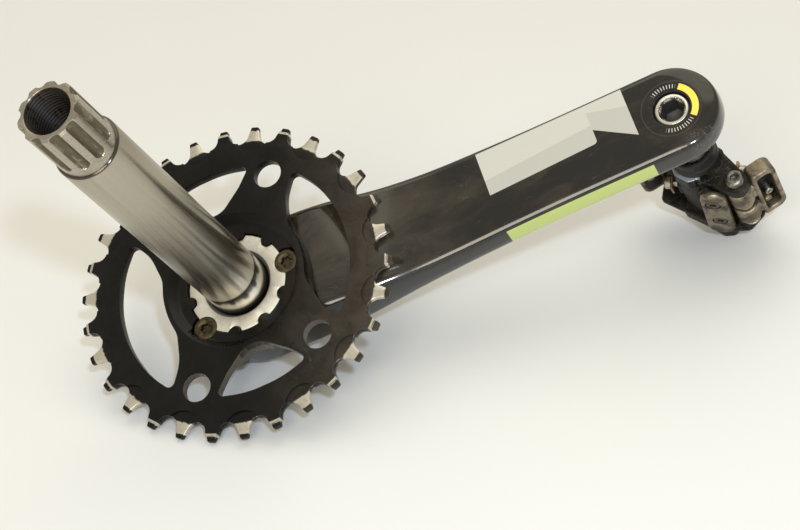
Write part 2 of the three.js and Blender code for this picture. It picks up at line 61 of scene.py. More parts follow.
# a window's half outline: radius, angle from its middle, corner rounding
SIDE_WINDOW = (
    (29, 8, 30), (29.5, 24, 9), (37.5, 39.5, 20), (47.9, 43.5, 2.2), (47.9, 29, 48), (47.9, 10, 48),
)
END_WINDOW = ((28.8, 7, 8), (38, 19.5, 9), (46.9, 24, 1.9), (46.9, 9, 46))
WINDOWS = ((0, SIDE_WINDOW), (180, SIDE_WINDOW), (90, END_WINDOW), (-90, END_WINDOW))

SCALLOPS = 10
SCALLOP_ANGLES = [2 * pi * i / SCALLOPS for i in range(SCALLOPS)]
SCALLOP_CENTRE_R = 20.1
BOLT_ANGLES = (0, 108, -144)
BOLT_CENTRE_R = 20.8
BOLT_SEAT_R = 5.25

SPINDLE_TOP = 148.0
SHOULDER_Z = 121.6
SPLINES = 10
FIRST_SPLINE = radians(-54.5)
GROOVE_END_Z = 127.4
CHAMFER_Z = 147.2
THREAD_R = 7.9
THREAD_PITCH = 1.5

# ---- the pedal: f fore and aft, t through the platform, z along the axle ----
PIN_F, PIN_T = 16.6, -10.3
PIN_HOLE_R = 1.95
CLAW_F, CLAW_T, CLAW_Z = 6.4, -14.6, -80
CLAW_SCREW_Z = (-71, -86)
ADJUSTER_T, ADJUSTER_Z = 2.5, -80
JAW_ANGLE = 37.8
JAW_LENGTH, JAW_REACH = 33.6, 10.3
JAW_OUT, JAW_FOOT_Z = 5.2, -94.6
KNUCKLES = ((-67, -77), (-81, -91))
COILS = ((-77.5, -80.5), (-91.5, -95.4))
COIL_TURNS = 2

# ---- the camera's place and axes, and the arm's shape ----
CAMERA_AT = Vector((193.464, -377.048, 661.202))
CAMERA_RIGHT = Vector((0.89925, -0.28556, -0.33136))
CAMERA_UP = Vector((0.40211, 0.83786, 0.36919))

# share of the tip's inset that the inner edge has along the arm's sides
EDGE_TIGHT = 0.45
# stations along the arm: distance from the spindle, and then the columns named here
HALF_WIDTH, INNER_FACE, OUTER_FACE = 1, 2, 3
ARM = (
    (0, 22.5, -7, -35), (22, 22.4, -7.2, -35), (40, 22, -9.8, -34.6), (60, 20.5, -14.5, -34),
    (80, 19.4, -16.7, -33.6), (105, 18.6, -17, -33.2), (130, 18.2, -17, -33), (175, 18.2, -17, -33),
)


def crank_place():
    """The matrix from the crank's own frame in millimetres to the row's frame in metres."""
    across = BENCH_UP.cross(Vector((1, 0, 0))).normalized()
    along = across.cross(BENCH_UP)
    turn = Matrix((along, across, BENCH_UP))
    points = [turn.transposed() @ v.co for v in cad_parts["spindle"].data.vertices]
    low = Vector(min(p[i] for p in points) for i in range(3))
    high = Vector(max(p[i] for p in points) for i in range(3))
    middle = (low + high) / 2
    origin = turn @ Vector((middle.x, middle.y, high.z - SPINDLE_TOP * 0.001))
    return Matrix.Translation(origin) @ turn.to_4x4() @ Matrix.Scale(0.001, 4)


CRANK = crank_place()
PEDAL = CRANK @ Matrix.Translation((CRANK_LENGTH, 0, 0)) @ Matrix.Rotation(PEDAL_ANGLE, 4, "Z")
PEDAL_B = PEDAL @ Matrix.Rotation(pi, 4, "Z")
SIDES = (("a", PEDAL), ("b", PEDAL_B))


# ---- mesh tools -------------------------------------------------------------------------
def polar(r, deg):
    return r * cos(radians(deg)), r * sin(radians(deg))


def link(name, data):
    obj = bpy.data.objects.new(name, data)
    bpy.context.scene.collection.objects.link(obj)
    return obj


def from_points(name, verts, faces):
    mesh = bpy.data.meshes.new(name)
    mesh.from_pydata(verts, [], faces)
    clean(mesh)
    return link(name, mesh)


def clean(mesh, place=None):
    bm = bmesh.new()
    bm.from_mesh(mesh)
    bmesh.ops.remove_doubles(bm, verts=bm.verts, dist=1e-4)
    bmesh.ops.recalc_face_normals(bm, faces=bm.faces)
    if place is not None:
        bmesh.ops.transform(bm, matrix=place, verts=bm.verts)
    bm.to_mesh(mesh)
    bm.free()


def baked(obj, *used):
    """obj as a plain mesh, its modifiers applied and its place in its vertices."""
    bpy.context.view_layer.update()
    graph = bpy.context.evaluated_depsgraph_get()
    mesh = bpy.data.meshes.new_from_object(obj.evaluated_get(graph))
    mesh.transform(obj.matrix_world)
    name = obj.name
    for old in (obj, *used):
        bpy.data.objects.remove(old)
    clean(mesh)
    return link(name, mesh)


def moved(obj, x=0, y=0, z=0):
    obj.data.transform(Matrix.Translation((x, y, z)))
    return obj


def turned(obj, degrees, axis="Z"):
    obj.data.transform(Matrix.Rotation(radians(degrees), 4, axis))
    return obj


def rounded(points, closed=True, steps=5):
    """Points (x, y, radius) as a line with its corners rounded; a radius of 0 keeps one sharp."""
    line = []
    for i, (x, y, radius) in enumerate(points):
        here = Vector((x, y))
        if not radius or (not closed and i in (0, len(points) - 1)):
            line.append((x, y))
            continue
        before = Vector(points[i - 1][:2]) - here
        after = Vector(points[(i + 1) % len(points)][:2]) - here
        half = before.angle(after) / 2
        if half > 1.5:
            line.append((x, y))
            continue
        reach = min(radius / tan(half), before.length * 0.48, after.length * 0.48)
        before.normalize()
        after.normalize()
        middle = here + (before + after).normalized() * reach / cos(half)
        start = here + before * reach - middle
        sweep = start.angle_signed(here + after * reach - middle)
        for k in range(steps + 1):
            spoke = start.copy()
            spoke.rotate(Matrix.Rotation(-sweep * k / steps, 2))
            line.append(tuple(middle + spoke))
    return line


def circle(r, x=0, y=0, steps=64):
    return [(x + r * cos(2 * pi * i / steps), y + r * sin(2 * pi * i / steps)) for i in range(steps)]


def capsule(x0, y0, x1, y1, r0, r1, steps=20):
    """Outline of two discs and what lies between them."""
    along = atan2(y1 - y0, x1 - x0)
    half = pi * 0.5
    far = [(x1 + r1 * cos(along - half + pi * i / steps), y1 + r1 * sin(along - half + pi * i / steps))
           for i in range(steps + 1)]
    near = [(x0 + r0 * cos(along + half + pi * i / steps), y0 + r0 * sin(along + half + pi * i / steps))
            for i in range(steps + 1)]
    return far + near


def shell(name, rows, steps=96, loop=True):
    """Round skin through rows of (radius, height); a radius may be a function of the angle."""
    verts = []
    for radius, z in rows:
        for i in range(steps):
            a = 2 * pi * i / steps
            r = radius(a) if callable(radius) else radius
            verts.append((r * cos(a), r * sin(a), z))
    faces = []
    for k in range(len(rows) if loop else len(rows) - 1):
        low, high = k * steps, ((k + 1) % len(rows)) * steps
        for i in range(steps):
            j = (i + 1) % steps
            faces.append((low + i, low + j, high + j, high + i))
    return from_points(name, verts, faces)


def spun(name, rows, steps=48):
    """Round solid through rows of (radius, height) that start and end on the axis."""
    return shell(name, rows, steps, loop=False)


def lathe(name, profile, steps=96):
    """Turned solid from (radius, height, ease) points that start and end on the axis."""
    return spun(name, rounded(profile, closed=False, steps=4), steps)


def tube(name, profile, steps=96):
    """Turned ring from a closed (radius, height, ease) profile."""
    return shell(name, rounded(profile, steps=4), steps)


def inward(loop, solid_left, amount):
    """A loop moved into the solid beside it."""
    count = len(loop)
    moved_loop = []
    for i, point in enumerate(loop):
        here = Vector(point)
        before = (here - Vector(loop[i - 1])).normalized()
        after = (Vector(loop[(i + 1) % count]) - here).normalized()
        side = Vector((-before.y - after.y, before.x + after.x)).normalized() * (1 if solid_left else -1)
        lean = abs(side.dot(Vector((-before.y, before.x))))
        moved_loop.append(tuple(here + side * amount / max(lean, 0.6)))
    return moved_loop


def slab(name, outlines, z0, z1, edge, rounds=2):
    """Flat plate with rounded edges: the first outline is its rim and the others are holes."""
    levels = [(0.0, z0), (0.0, z1)]
    if edge:
        turn = [pi / 2 * k / rounds for k in range(rounds + 1)]
        levels = [(edge * (1 - sin(a)), z0 + edge * (1 - cos(a))) for a in turn]
        levels += [(inset, z0 + z1 - z) for inset, z in reversed(levels)]
    loops = []
    for k, outline in enumerate(outlines):
        area = sum(p[0] * q[1] - q[0] * p[1] for p, q in zip(outline, outline[1:] + outline[:1]))
        loops.append((outline, (area > 0) == (k == 0)))
    verts, faces = [], []
    for inset, z in levels:
        for outline, left in loops:
            verts += [(x, y, z) for x, y in (inward(outline, left, inset) if inset else outline)]
    total = len(verts) // len(levels)
    edges, wholes, first = [], [], 0
    for outline, _ in loops:
        edges += [(first + i, first + (i + 1) % len(outline)) for i in range(len(outline))]
        wholes.append(list(range(first, first + len(outline))))
        first += len(outline)
    for level in range(len(levels) - 1):
        low = level * total
        faces += [(low + i, low + j, low + total + j, low + total + i) for i, j in edges]
    flat = [Vector(v[:2]) for v in verts[:total]]
    _, _, caps, origins, _, _ = delaunay_2d_cdt(flat, [], wholes, 2, 1e-6)
    for cap in caps:
        cap = [origins[i][0] for i in cap]
        faces += [tuple(cap), tuple(len(verts) - total + i for i in cap)]
    return from_points(name, verts, faces)


def block(name, x, y, z, edge, rounds=3):
    """Box between pairs of limits, its edges rounded."""
    obj = slab(name, [[(x[0], y[0]), (x[1], y[0]), (x[1], y[1]), (x[0], y[1])]], z[0], z[1], 0)
    return bevelled(obj, edge, rounds)


def bevelled(obj, width, segments=3, angle=35):
    mod = obj.modifiers.new("edges", "BEVEL")
    mod.width = width
    mod.segments = segments
    mod.limit_method = "ANGLE"
    mod.angle_limit = radians(angle)
    mod.use_clamp_overlap = True
    return baked(obj)


def carved(obj, *cutters):
    for cutter in cutters:
        mod = obj.modifiers.new("cut", "BOOLEAN")
        mod.operation = "DIFFERENCE"
        mod.solver = "EXACT"
        mod.object = cutter
    return baked(obj, *cutters)


def merged(*parts):
    bm = bmesh.new()
    for part in parts:
        bm.from_mesh(part.data)
    name = parts[0].name
    for part in parts:
        bpy.data.objects.remove(part)
    mesh = bpy.data.meshes.new(name)
    bm.to_mesh(mesh)
    bm.free()
    return link(name, mesh)


def cast(voxel, passes, *parts):
    """Overlapping parts as one casting with soft edges."""
    obj = merged(*parts)
    mod = obj.modifiers.new("skin", "REMESH")
    mod.mode = "VOXEL"
    mod.voxel_size = voxel
    soft = obj.modifiers.new("soft", "SMOOTH")
    soft.factor = 0.5
    soft.iterations = passes
    return baked(obj)


def settled(obj, name, place, look, body, slot, *nodes, sharp=32):
    """Lays a finished mesh into the row's frame, rides it on its body and gives it its finish."""
    clean(obj.data, place)
    obj.name = name
    obj.data.name = name
    obj.data.shade_smooth()
    obj.data.set_sharp_from_angle(angle=radians(sharp))
    obj.data.materials.clear()
    obj.data.materials.append(look)
    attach(obj, body)
    if nodes:
        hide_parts(*nodes)
    return obj


# ---- finishes ---------------------------------------------------------------------------
class Look:
    """A node material laid out in millimetres in one of the crank's own frames."""

    def __init__(self, name, place):
        self.material = bpy.data.materials.new(name)
        self.material.use_nodes = True
        self.tree = self.material.node_tree
        self.tree.nodes.clear()
        self.bsdf = self.node("BsdfPrincipled")
        self.node("OutputMaterial", {"Surface": self.bsdf.outputs[0]})
        source = self.node("TexCoord").outputs
        offset, turn, scale = place.inverted().decompose()
        mapped = {"Vector": source["Object"], "Location": offset, "Rotation": turn.to_euler(), "Scale": scale}
        self.at = self.node("Mapping", mapped).outputs["Vector"]
        self.x, self.y, self.z = self.node("SeparateXYZ", {0: self.at}).outputs
        up = (place.to_3x3() @ Vector((0, 0, 1))).normalized()
        dot = self.node("VectorMath", {0: source["Normal"], 1: up}, operation="DOT_PRODUCT")
        self.facing = dot.outputs["Value"]
        self.along = self.vector(*up)
        self.colour = None

    def node(self, kind, values=(), **settings):
        """A new shader node with its settings, and its inputs by name or number."""
        node = self.tree.nodes.new("ShaderNode" + kind)
        for key, value in settings.items():
            setattr(node, key, value)
        for key, value in dict(values).items():
            self.put(node.inputs[key], value)
        return node

    def put(self, socket, value):
        if isinstance(value, bpy.types.NodeSocket):
            self.tree.links.new(value, socket)
        elif isinstance(value, tuple) and len(value) == 3 and len(socket.default_value) == 4:
            socket.default_value = (*value, 1)
        else:
            socket.default_value = value

    def calc(self, operation, *values):
        return self.node("Math", enumerate(values), operation=operation).outputs[0]

    def chain(self, operation, values):
        result = values[0]
        for value in values[1:]:
            result = self.calc(operation, result, value)
        return result

    def times(self, *values):
        return self.chain("MULTIPLY", values)

    def plus(self, *values):
        return self.chain("ADD", values)

    def minus(self, *values):
        return self.chain("SUBTRACT", values)

    def most(self, *values):
        return self.chain("MAXIMUM", values)

    def step(self, value, low, high, to=(0.0, 1.0)):
        values = {"Value": value, "From Min": low, "From Max": high, "To Min": to[0], "To Max": to[1]}
        return self.node("MapRange", values, interpolation_type="SMOOTHSTEP").outputs[0]

    def fall(self, value, low, high):
        """1 up to low and 0 from high on, the other way round from step."""
        return self.step(value, low, high, (1.0, 0.0))

    def band(self, value, low, high, soft=0.06):
        rise = self.step(value, low - soft, low + soft)
        return self.times(rise, self.fall(value, high - soft, high + soft))

    def line(self, slope, start):
        """Height of a straight line over the plan."""
        return self.plus(self.times(self.x, slope), start)

    def above(self, edge, soft=0.06):
        return self.step(self.minus(self.y, edge), -soft, soft)

    def radius(self, x=0.0):
        """Distance from a point on the X axis."""
        off = self.minus(self.x, x)
        return self.calc("SQRT", self.plus(self.times(off, off), self.times(self.y, self.y)))

    def angle(self, x=0.0):
        """Angle about a point on the X axis, in degrees from -180 to 180."""
        return self.times(self.calc("ARCTAN2", self.y, self.minus(self.x, x)), 180 / pi)

    def vector(self, x, y, z):
        return self.node("CombineXYZ", enumerate((x, y, z))).outputs[0]

    def noise(self, scale, detail=3.0, rough=0.55, bend=0.0, at=None):
        """Noise with features per millimetre along each axis."""
        scale = scale if isinstance(scale, tuple) else (scale,) * 3
        place = self.node("VectorMath", {0: at or self.at, 1: scale}, operation="MULTIPLY").outputs[0]
        values = {"Vector": place, "Scale": 1.0, "Detail": detail, "Roughness": rough, "Distortion": bend}
        return self.node("TexNoise", values).outputs[0]

    def lerp(self, factor, a, b):
        return self.calc("MULTIPLY_ADD", factor, self.minus(b, a), a)

    def mix(self, factor, a, b):
        return self.node("Mix", {0: factor, 6: a, 7: b}, data_type="RGBA").outputs[2]

    def lay(self, tint, *masks):
        """Lays a tint over the colour so far, as far as the product of the masks says."""
        self.colour = self.mix(self.times(*masks), self.colour, tint)

    def done(self, rough, metal, height, depth=0.05, **more):
        """Wires the surface up. The height is bump of a depth in millimetres."""
        bump = self.node("Bump", {"Strength": 1.0, "Distance": depth * 0.001, "Height": height})
        inputs = {"Base_Color": self.colour, "Roughness": rough, "Metallic": metal, "Normal": bump.outputs[0]}
        for key, value in (inputs | more).items():
            self.put(self.bsdf.inputs[key.replace("_", " ")], value)
        return self.material


def scratches(look, scale, sharp=0.012):
    """Thin random hairlines: where a stretched noise crosses its middle value."""
    field = look.noise(scale, 2.0, 0.5, 0.4)
    return look.fall(look.calc("ABSOLUTE", look.minus(field, 0.5)), 0.0, sharp)


def pale_band(look, grain):
    """Lays the pale band on the inner face, with a darker fold and wedge, and returns its mask."""
    lower = look.line(0.038, -6.12)
    past = look.most(look.minus(look.x, 143.6), 0.0)
    under = look.most(look.minus(look.plus(lower, 1.5), look.y), 0.0)
    corner = look.calc("SQRT", look.plus(look.times(past, past), look.times(under, under)))
    left = look.times(look.band(look.x, 100.3, 145.1), look.above(lower), look.fall(corner, 1.44, 1.56))
    right = look.times(look.band(look.x, 145.0, 160.3), look.above(look.line(-0.651, 99.75)))
    inside = look.times(look.step(look.facing, 0.3, 0.5), look.fall(look.y, 16.5, 16.7))
    mask = look.times(look.most(left, right), inside)
    fold = look.times(left, look.minus(1.0, look.above(look.line(0.070, -2.75), 0.1)))
    wedge = look.times(right, look.minus(1.0, look.above(look.line(-0.28, 53.6), 0.1)))
    paper = look.mix(grain, (0.545, 0.52, 0.455), (0.595, 0.57, 0.50))
    folded = look.mix(grain, (0.465, 0.445, 0.39), (0.505, 0.485, 0.425))
    look.lay(look.mix(look.most(fold, wedge), paper, folded), mask)
    return mask


def green_strip(look, grain):
    """Lays the green strip on the near side wall, and returns its mask."""
    side = look.fall(look.y, -12.0, -11.0)
    mask = look.times(look.band(look.x, 101.0, 161.0), look.band(look.z, -29.4, -18.7), side)
    look.lay(look.mix(grain, (0.47, 0.56, 0.15), (0.53, 0.62, 0.19)), mask)
    return mask


def hole_print(look):
    """Lays a yellow arc, generic tick marks and an engraved circle round the pedal hole."""
    face = look.step(look.facing, 0.8, 0.97)
    r, a = look.radius(CRANK_LENGTH), look.angle(CRANK_LENGTH)
    arc = look.times(look.band(r, 7.9, 10.4), look.band(a, -44.0, 53.0, 0.5), face)
    look.lay((0.95, 0.72, 0.10), arc)
    tick_step = 7.0
    beat = look.calc("ABSOLUTE", look.minus(look.calc("FRACT", look.times(a, 1 / tick_step)), 0.5))
    stretches = look.most(look.band(a, 60.0, 122.0, 0.3), look.band(a, -122.0, -52.0, 0.3))
    ticks = look.times(stretches, look.fall(beat, 0.10, 0.14), look.band(r, 8.3, 9.9, 0.08), face)
    look.lay((0.70, 0.66, 0.56), ticks)
    engraved = look.times(look.band(r, 11.2, 11.45, 0.08), face)
    look.lay((0.075, 0.07, 0.06), engraved, 0.6)
    return engraved


def carbon_look():
    look = Look("carbon_lacquer", CRANK)
    smear = look.noise((0.035, 0.07, 0.07), 5.0, 0.62, 0.6)
    haze = look.noise(0.35, 4.0, 0.6)
    hair = look.times(scratches(look, (0.03, 0.22, 0.2), 0.006), look.step(haze, 0.42, 0.66))
    look.colour = look.mix(look.step(smear, 0.45, 0.75), (0.0045, 0.0034, 0.0024), (0.030, 0.022, 0.012))
    # haze and painted sheen: the inner face lighter towards the hub, in smears
    haze_and_sheen = look.times(look.fall(look.x, 58.0, 92.0), look.step(smear, 0.25, 0.6))
    look.lay((0.040, 0.031, 0.019), haze_and_sheen)
    look.lay((0.16, 0.13, 0.09), hair, 0.35)
    # painted shade: the side walls and the outer face darker than the inner face
    look.lay((0.0030, 0.0024, 0.0020), look.fall(look.facing, 0.45, 0.75))

    grain = look.noise(2.5, 2.0)
    pale = pale_band(look, grain)
    green = green_strip(look, grain)
    engraved = hole_print(look)

    # scuffed patch on the tip's near corner
    scuff = look.times(
        look.band(look.x, 175.5, 187.5, 1.5), look.fall(look.y, -13.4, -11.8),
        look.step(look.z, -30.0, -27.0),
    )
    chips = look.noise(0.8, 6.0, 0.72, 1.5)
    look.lay((0.075, 0.07, 0.062), scuff, look.step(chips, 0.5, 0.58))

    rough = look.plus(
        look.step(smear, 0.3, 0.75, (0.16, 0.27)), look.times(haze, 0.08),
        look.times(look.most(pale, green), 0.12), look.times(scuff, look.step(chips, 0.45, 0.6), 0.4),
    )
    height = look.plus(look.times(look.noise(6.0, 3.0), 0.08), look.times(scuff, chips, 6.0))
    height = look.minus(height, look.times(engraved, 0.6), look.times(hair, 0.12))
    return look.done(rough, 0.0, height, 0.05, Specular_IOR_Level=0.15, Coat_Weight=1.0,
                     Coat_Roughness=0.1)


def bare_alloy(look, r, a, flank, fine):
    """Where wear has stripped the ring: below the narrow teeth's tips and along its edges."""
    edge = look.times(look.step(flank, 0.15, 0.4), look.fall(flank, 0.8, 0.95))
    pair = 2 * 360 / TEETH
    turn = look.times(look.minus(a, FIRST_TOOTH - 720), 1 / pair)
    offset = look.calc("ABSOLUTE", look.minus(look.calc("FRACT", turn), 0.5))
    narrow = look.fall(offset, 0.2, 0.22)
    ragged = look.plus(r, look.times(look.noise(0.7, 4.0, 0.7), 1.6))
    inside_tips = look.fall(r, 62.2, 62.6)
    return look.most(
        look.times(narrow, look.step(ragged, 58.2, 58.9), look.fall(ragged, 62.7, 63.0)),
        look.times(look.minus(1.0, narrow), look.band(r, 60.9, 61.85, 0.08), look.step(fine, 0.3, 0.45)),
        look.times(look.step(ragged, 58.6, 59.6), inside_tips, edge, look.step(fine, 0.42, 0.55)),
        look.times(edge, look.step(r, 52.5, 54.0), inside_tips,
                   look.step(look.noise(0.8, 4.0, 0.7), 0.46, 0.56), 0.8),
    )


def ring_look():
    look = Look("ring_black_anodised", CRANK)
    r, a = look.radius(), look.angle()
    cloud = look.noise(0.08, 4.0, 0.6, 0.4)
    fine = look.noise(3.0, 3.0)
    turned_marks = look.noise((1.0, 0.02, 1.0), 3.0, 0.5, at=look.vector(look.times(r, 6.0), a, look.z))
    look.colour = look.mix(look.step(cloud, 0.35, 0.7), (0.0026, 0.0020, 0.0016), (0.0050, 0.0040, 0.0030))
    # painted sheen with some wear: the ring lighter towards the side the arm points to, in clouds
    slant = look.plus(look.x, look.times(look.y, -0.35))
    rubbed = look.times(look.step(slant, 5.0, 85.0), look.step(cloud, 0.2, 0.75, (0.35, 1.0)))
    look.lay((0.070, 0.055, 0.039), rubbed)
    hair = look.times(scratches(look, (0.9, 0.2, 0.9)), look.step(fine, 0.45, 0.65))
    look.lay((0.12, 0.11, 0.095), hair, 0.12)
    flank = look.calc("ABSOLUTE", look.facing)
    # painted reflection of the bench: the walls of the openings on the ring's near side made lighter
    wall = look.times(
        look.fall(flank, 0.15, 0.3), look.fall(r, 49.0, 50.0), look.fall(look.y, -30.0, -15.0), 0.8,
    )
    look.lay((0.13, 0.115, 0.095), wall)

    bare = bare_alloy(look, r, a, flank, fine)
    metal = look.mix(fine, (0.56, 0.51, 0.41), (0.84, 0.80, 0.70))
    dirt = look.times(look.step(look.noise(0.5, 5.0, 0.7), 0.55, 0.75), 0.45)
    metal = look.mix(dirt, metal, (0.16, 0.13, 0.09))
    look.lay(metal, bare)
    rough = look.lerp(bare, look.step(cloud, 0.3, 0.7, (0.24, 0.34)), 0.32)
    height = look.plus(look.times(turned_marks, 0.10), look.times(fine, 0.10))
    height = look.minus(height, look.times(hair, 0.15))
    return look.done(rough, look.step(bare, 0.0, 1.0), height, 0.05, Specular_IOR_Level=0.24)


def spindle_look():
    look = Look("spindle_brushed_steel", CRANK)
    r = look.radius()
    streaks = look.noise((0.55, 0.55, 0.010), 4.0, 0.6)
    rings = look.noise((0.05, 0.05, 2.4), 3.0, 0.6)
    look.colour = look.mix(streaks, (0.33, 0.295, 0.23), (0.52, 0.485, 0.40))
    look.lay((0.48, 0.45, 0.39), rings, 0.2)
    seat = look.fall(look.z, 8.6, 9.2)
    look.lay((0.46, 0.44, 0.40), seat, 0.6)
    # painted shade with some grease: the foot darkened where it goes down into the boss
    foot = look.fall(look.z, -3.5, 2.0)
    look.lay((0.05, 0.04, 0.028), foot, 0.85)

    # grease in the grooves, on their crests, in the line at their ends, on the lip and in the bore
    groove = look.times(look.band(look.z, 123.2, CHAMFER_Z + 0.3, 0.4), look.fall(r, 10.5, 10.9))
    grime = look.step(look.noise((0.5, 0.5, 0.16), 4.0, 0.6, 0.6), 0.3, 0.5, (0.35, 1.0))
    packed = look.times(groove, grime)
    patches = look.step(look.noise(0.45, 4.0, 0.6), 0.5, 0.7)
    crest = look.times(look.step(look.z, SHOULDER_Z, SHOULDER_Z + 0.4), patches, 0.3)
    cut_line = look.times(look.band(look.z, 127.9, 128.2, 0.12), look.step(r, 10.7, 10.95), 0.5)
    lip = look.times(look.step(look.z, CHAMFER_Z, 147.9), look.step(look.noise(0.6, 4.0), 0.4, 0.65), 0.4)
    bore = look.times(look.fall(r, 8.2, 8.5), look.step(look.z, 100.0, 110.0))
    dark = look.most(packed, crest, cut_line, lip)
    look.lay((0.17, 0.135, 0.065), dark, 0.9)
    look.lay((0.060, 0.046, 0.022), packed, 0.75)
    look.lay((0.034, 0.026, 0.020), bore)
    step_line = look.band(look.z, SHOULDER_Z - 0.7, SHOULDER_Z + 0.1, 0.15)
    look.lay((0.03, 0.025, 0.02), step_line, 0.8)

    rough = look.lerp(seat, look.step(streaks, 0.3, 0.7, (0.18, 0.24)), 0.16)
    rough = look.plus(look.lerp(bore, rough, 0.3), look.times(dark, 0.2))
    threads = look.times(bore, look.calc("SINE", look.times(look.z, 2 * pi / THREAD_PITCH)))
    height = look.plus(look.times(rings, look.minus(1.0, seat), 0.02), look.times(threads, 2.0))
    return look.done(rough, look.step(dark, 0.0, 1.0, (1.0, 0.2)), height, 0.05,
                     Anisotropic=0.9, Tangent=look.along)


def boss_look():
    look = Look("boss_machined_alloy", CRANK)
    r, a = look.radius(), look.angle()
    rings = look.noise((2.2, 0.02, 1.0), 4.0, 0.6, at=look.vector(r, a, 0.0))
    marks = look.noise(0.35, 5.0, 0.7, 0.8)
    look.colour = look.mix(rings, (0.70, 0.66, 0.56), (0.88, 0.85, 0.76))
    look.lay((0.42, 0.36, 0.26), look.step(marks, 0.52, 0.72), 0.4)
    # grease round the inner edge by the spindle, and painted shade: the boss darkened below its face, down
    # between it and the ring
    grime = look.most(look.times(look.fall(r, 13.3, 14.0), 0.8), look.fall(look.z, -4.2, -2.9))
    look.lay((0.040, 0.032, 0.021), grime, 0.95)
    rough = look.plus(look.step(marks, 0.3, 0.7, (0.42, 0.56)), look.times(grime, 0.1))
    height = look.plus(look.times(rings, 0.5), look.times(look.step(marks, 0.5, 0.6), 0.3))
    return look.done(rough, look.step(grime, 0.0, 1.0, (1.0, 0.2)), height, 0.05)


def plain_metal(name, place, low, high, rough, metal=1.0, amount=0.5):
    """Metal with uneven tone, an amount of dirt in patches and a fine grain."""
    look = Look(name, place)
    tone = look.noise(0.42, 5.0, 0.65, 0.5)
    fine = look.noise(6.0, 3.0)
    patch = look.noise(0.264, 6.0, 0.7, 0.9)
    look.colour = look.mix(look.step(tone, 0.3, 0.7), low, high)
    soiled = look.times(look.step(patch, 0.48, 0.66), amount)
    look.lay((0.05, 0.04, 0.03), soiled)
    hair = scratches(look, (0.6, 0.6, 0.18), 0.02)
    look.lay(high, hair, 0.25)
    uneven = look.plus(look.step(tone, 0.2, 0.8, (rough - 0.06, rough + 0.1)), look.times(soiled, 0.2))
    height = look.minus(look.plus(look.times(fine, 0.5), look.times(patch, 1.5)), look.times(hair, 0.3))
    return look.done(uneven, look.step(soiled, 0.0, 1.0, (metal, metal * 0.4)), height)


def axle_look():
    """Polished rim round a socket; the socket and the flank inside the arm are painted near black."""
    look = Look("polished_axle", PEDAL)
    r = look.radius()
    stain = look.noise(0.8, 5.0, 0.65, 0.5)
    look.colour = look.mix(look.step(stain, 0.4, 0.7), (0.82, 0.79, 0.71), (0.74, 0.70, 0.61))
    socket_dark = look.times(look.fall(look.z, -19.2, -18.4), look.fall(r, 4.9, 5.2))
    flank = look.times(look.step(r, 6.1, 6.5), look.step(look.z, -36.0, -35.0))
    # near black in the socket, and painted shade on the flank down between the axle and the arm's insert
    dark = look.most(socket_dark, flank)
    look.lay((0.020, 0.017, 0.013), dark, 0.94)
    rough = look.lerp(dark, look.step(stain, 0.3, 0.7, (0.2, 0.34)), 0.36)
    return look.done(rough, look.step(dark, 0.0, 1.0, (1.0, 0.5)), look.noise(3.0, 3.0), 0.03)


def worn_look(name, place):
    """Cast steel, its dark finish rubbed through to warm bare metal."""
    look = Look(name, place)
    cloud = look.noise(0.13, 5.0, 0.6, 0.6)
    fine = look.noise(3.0, 4.0, 0.6)
    pits = look.noise(0.9, 5.0, 0.7)
    look.colour = look.mix(look.step(cloud, 0.36, 0.62), (0.085, 0.069, 0.048), (0.31, 0.26, 0.18))
    look.lay((0.42, 0.37, 0.28), look.step(pits, 0.58, 0.7), 0.7)
    look.lay((0.03, 0.025, 0.02), look.step(fine, 0.55, 0.7), 0.35)
    rough = look.step(cloud, 0.3, 0.7, (0.52, 0.32))
    height = look.plus(look.times(fine, 0.5), look.times(pits, 1.4))
    return look.done(rough, 0.85, height, 0.06)


def body_look():
    """Satin black paint over cast alloy, dusty, with one facet rubbed bare."""
    look = Look("pedal_satin_black", PEDAL)
    cloud = look.noise(0.12, 5.0, 0.65, 0.6)
    fine = look.noise(4.0, 3.0)
    chips = look.noise(0.6, 6.0, 0.75, 1.0)
    look.colour = look.mix(look.step(cloud, 0.35, 0.7), (0.0060, 0.0048, 0.0036), (0.026, 0.021, 0.015))
    look.lay((0.14, 0.125, 0.10), look.step(chips, 0.6, 0.68), 0.5)
    hair = scratches(look, (0.35, 0.35, 0.1), 0.02)
    look.lay((0.14, 0.13, 0.12), hair, 0.3)
    facet = look.times(
        look.step(look.z, -60.9, -60.5), look.step(look.facing, 0.6, 0.8), look.fall(look.y, -4.5, -3.5),
        look.step(look.radius(), 8.6, 9.2), look.fall(look.x, 2.0, 3.0),
    )
    look.lay((0.40, 0.41, 0.46), facet)
    rough = look.lerp(facet, look.step(cloud, 0.3, 0.7, (0.38, 0.56)), 0.34)
    height = look.plus(look.times(fine, 0.5), look.times(chips, 1.2))
    return look.done(rough, look.times(facet, 0.5), height, 0.06, Specular_IOR_Level=0.13)


def moulded_look(name, place):
    look = Look(name, place)
    grain = look.noise(5.0, 4.0, 0.6)
    cloud = look.noise(0.15, 4.0, 0.6)
    look.colour = look.mix(look.step(cloud, 0.3, 0.7), (0.014, 0.0133, 0.0126), (0.028, 0.0266, 0.0245))
    rough = look.step(cloud, 0.3, 0.7, (0.42, 0.58))
    return look.done(rough, 0.0, grain, 0.05, Specular_IOR_Level=0.2)


def foam_look():
    look = Look("core_foam", CRANK)
    cells = look.noise(1.6, 6.0, 0.7)
    look.colour = look.mix(cells, (0.60, 0.55, 0.40), (0.80, 0.76, 0.62))
    return look.done(0.9, 0.0, cells, 0.2)


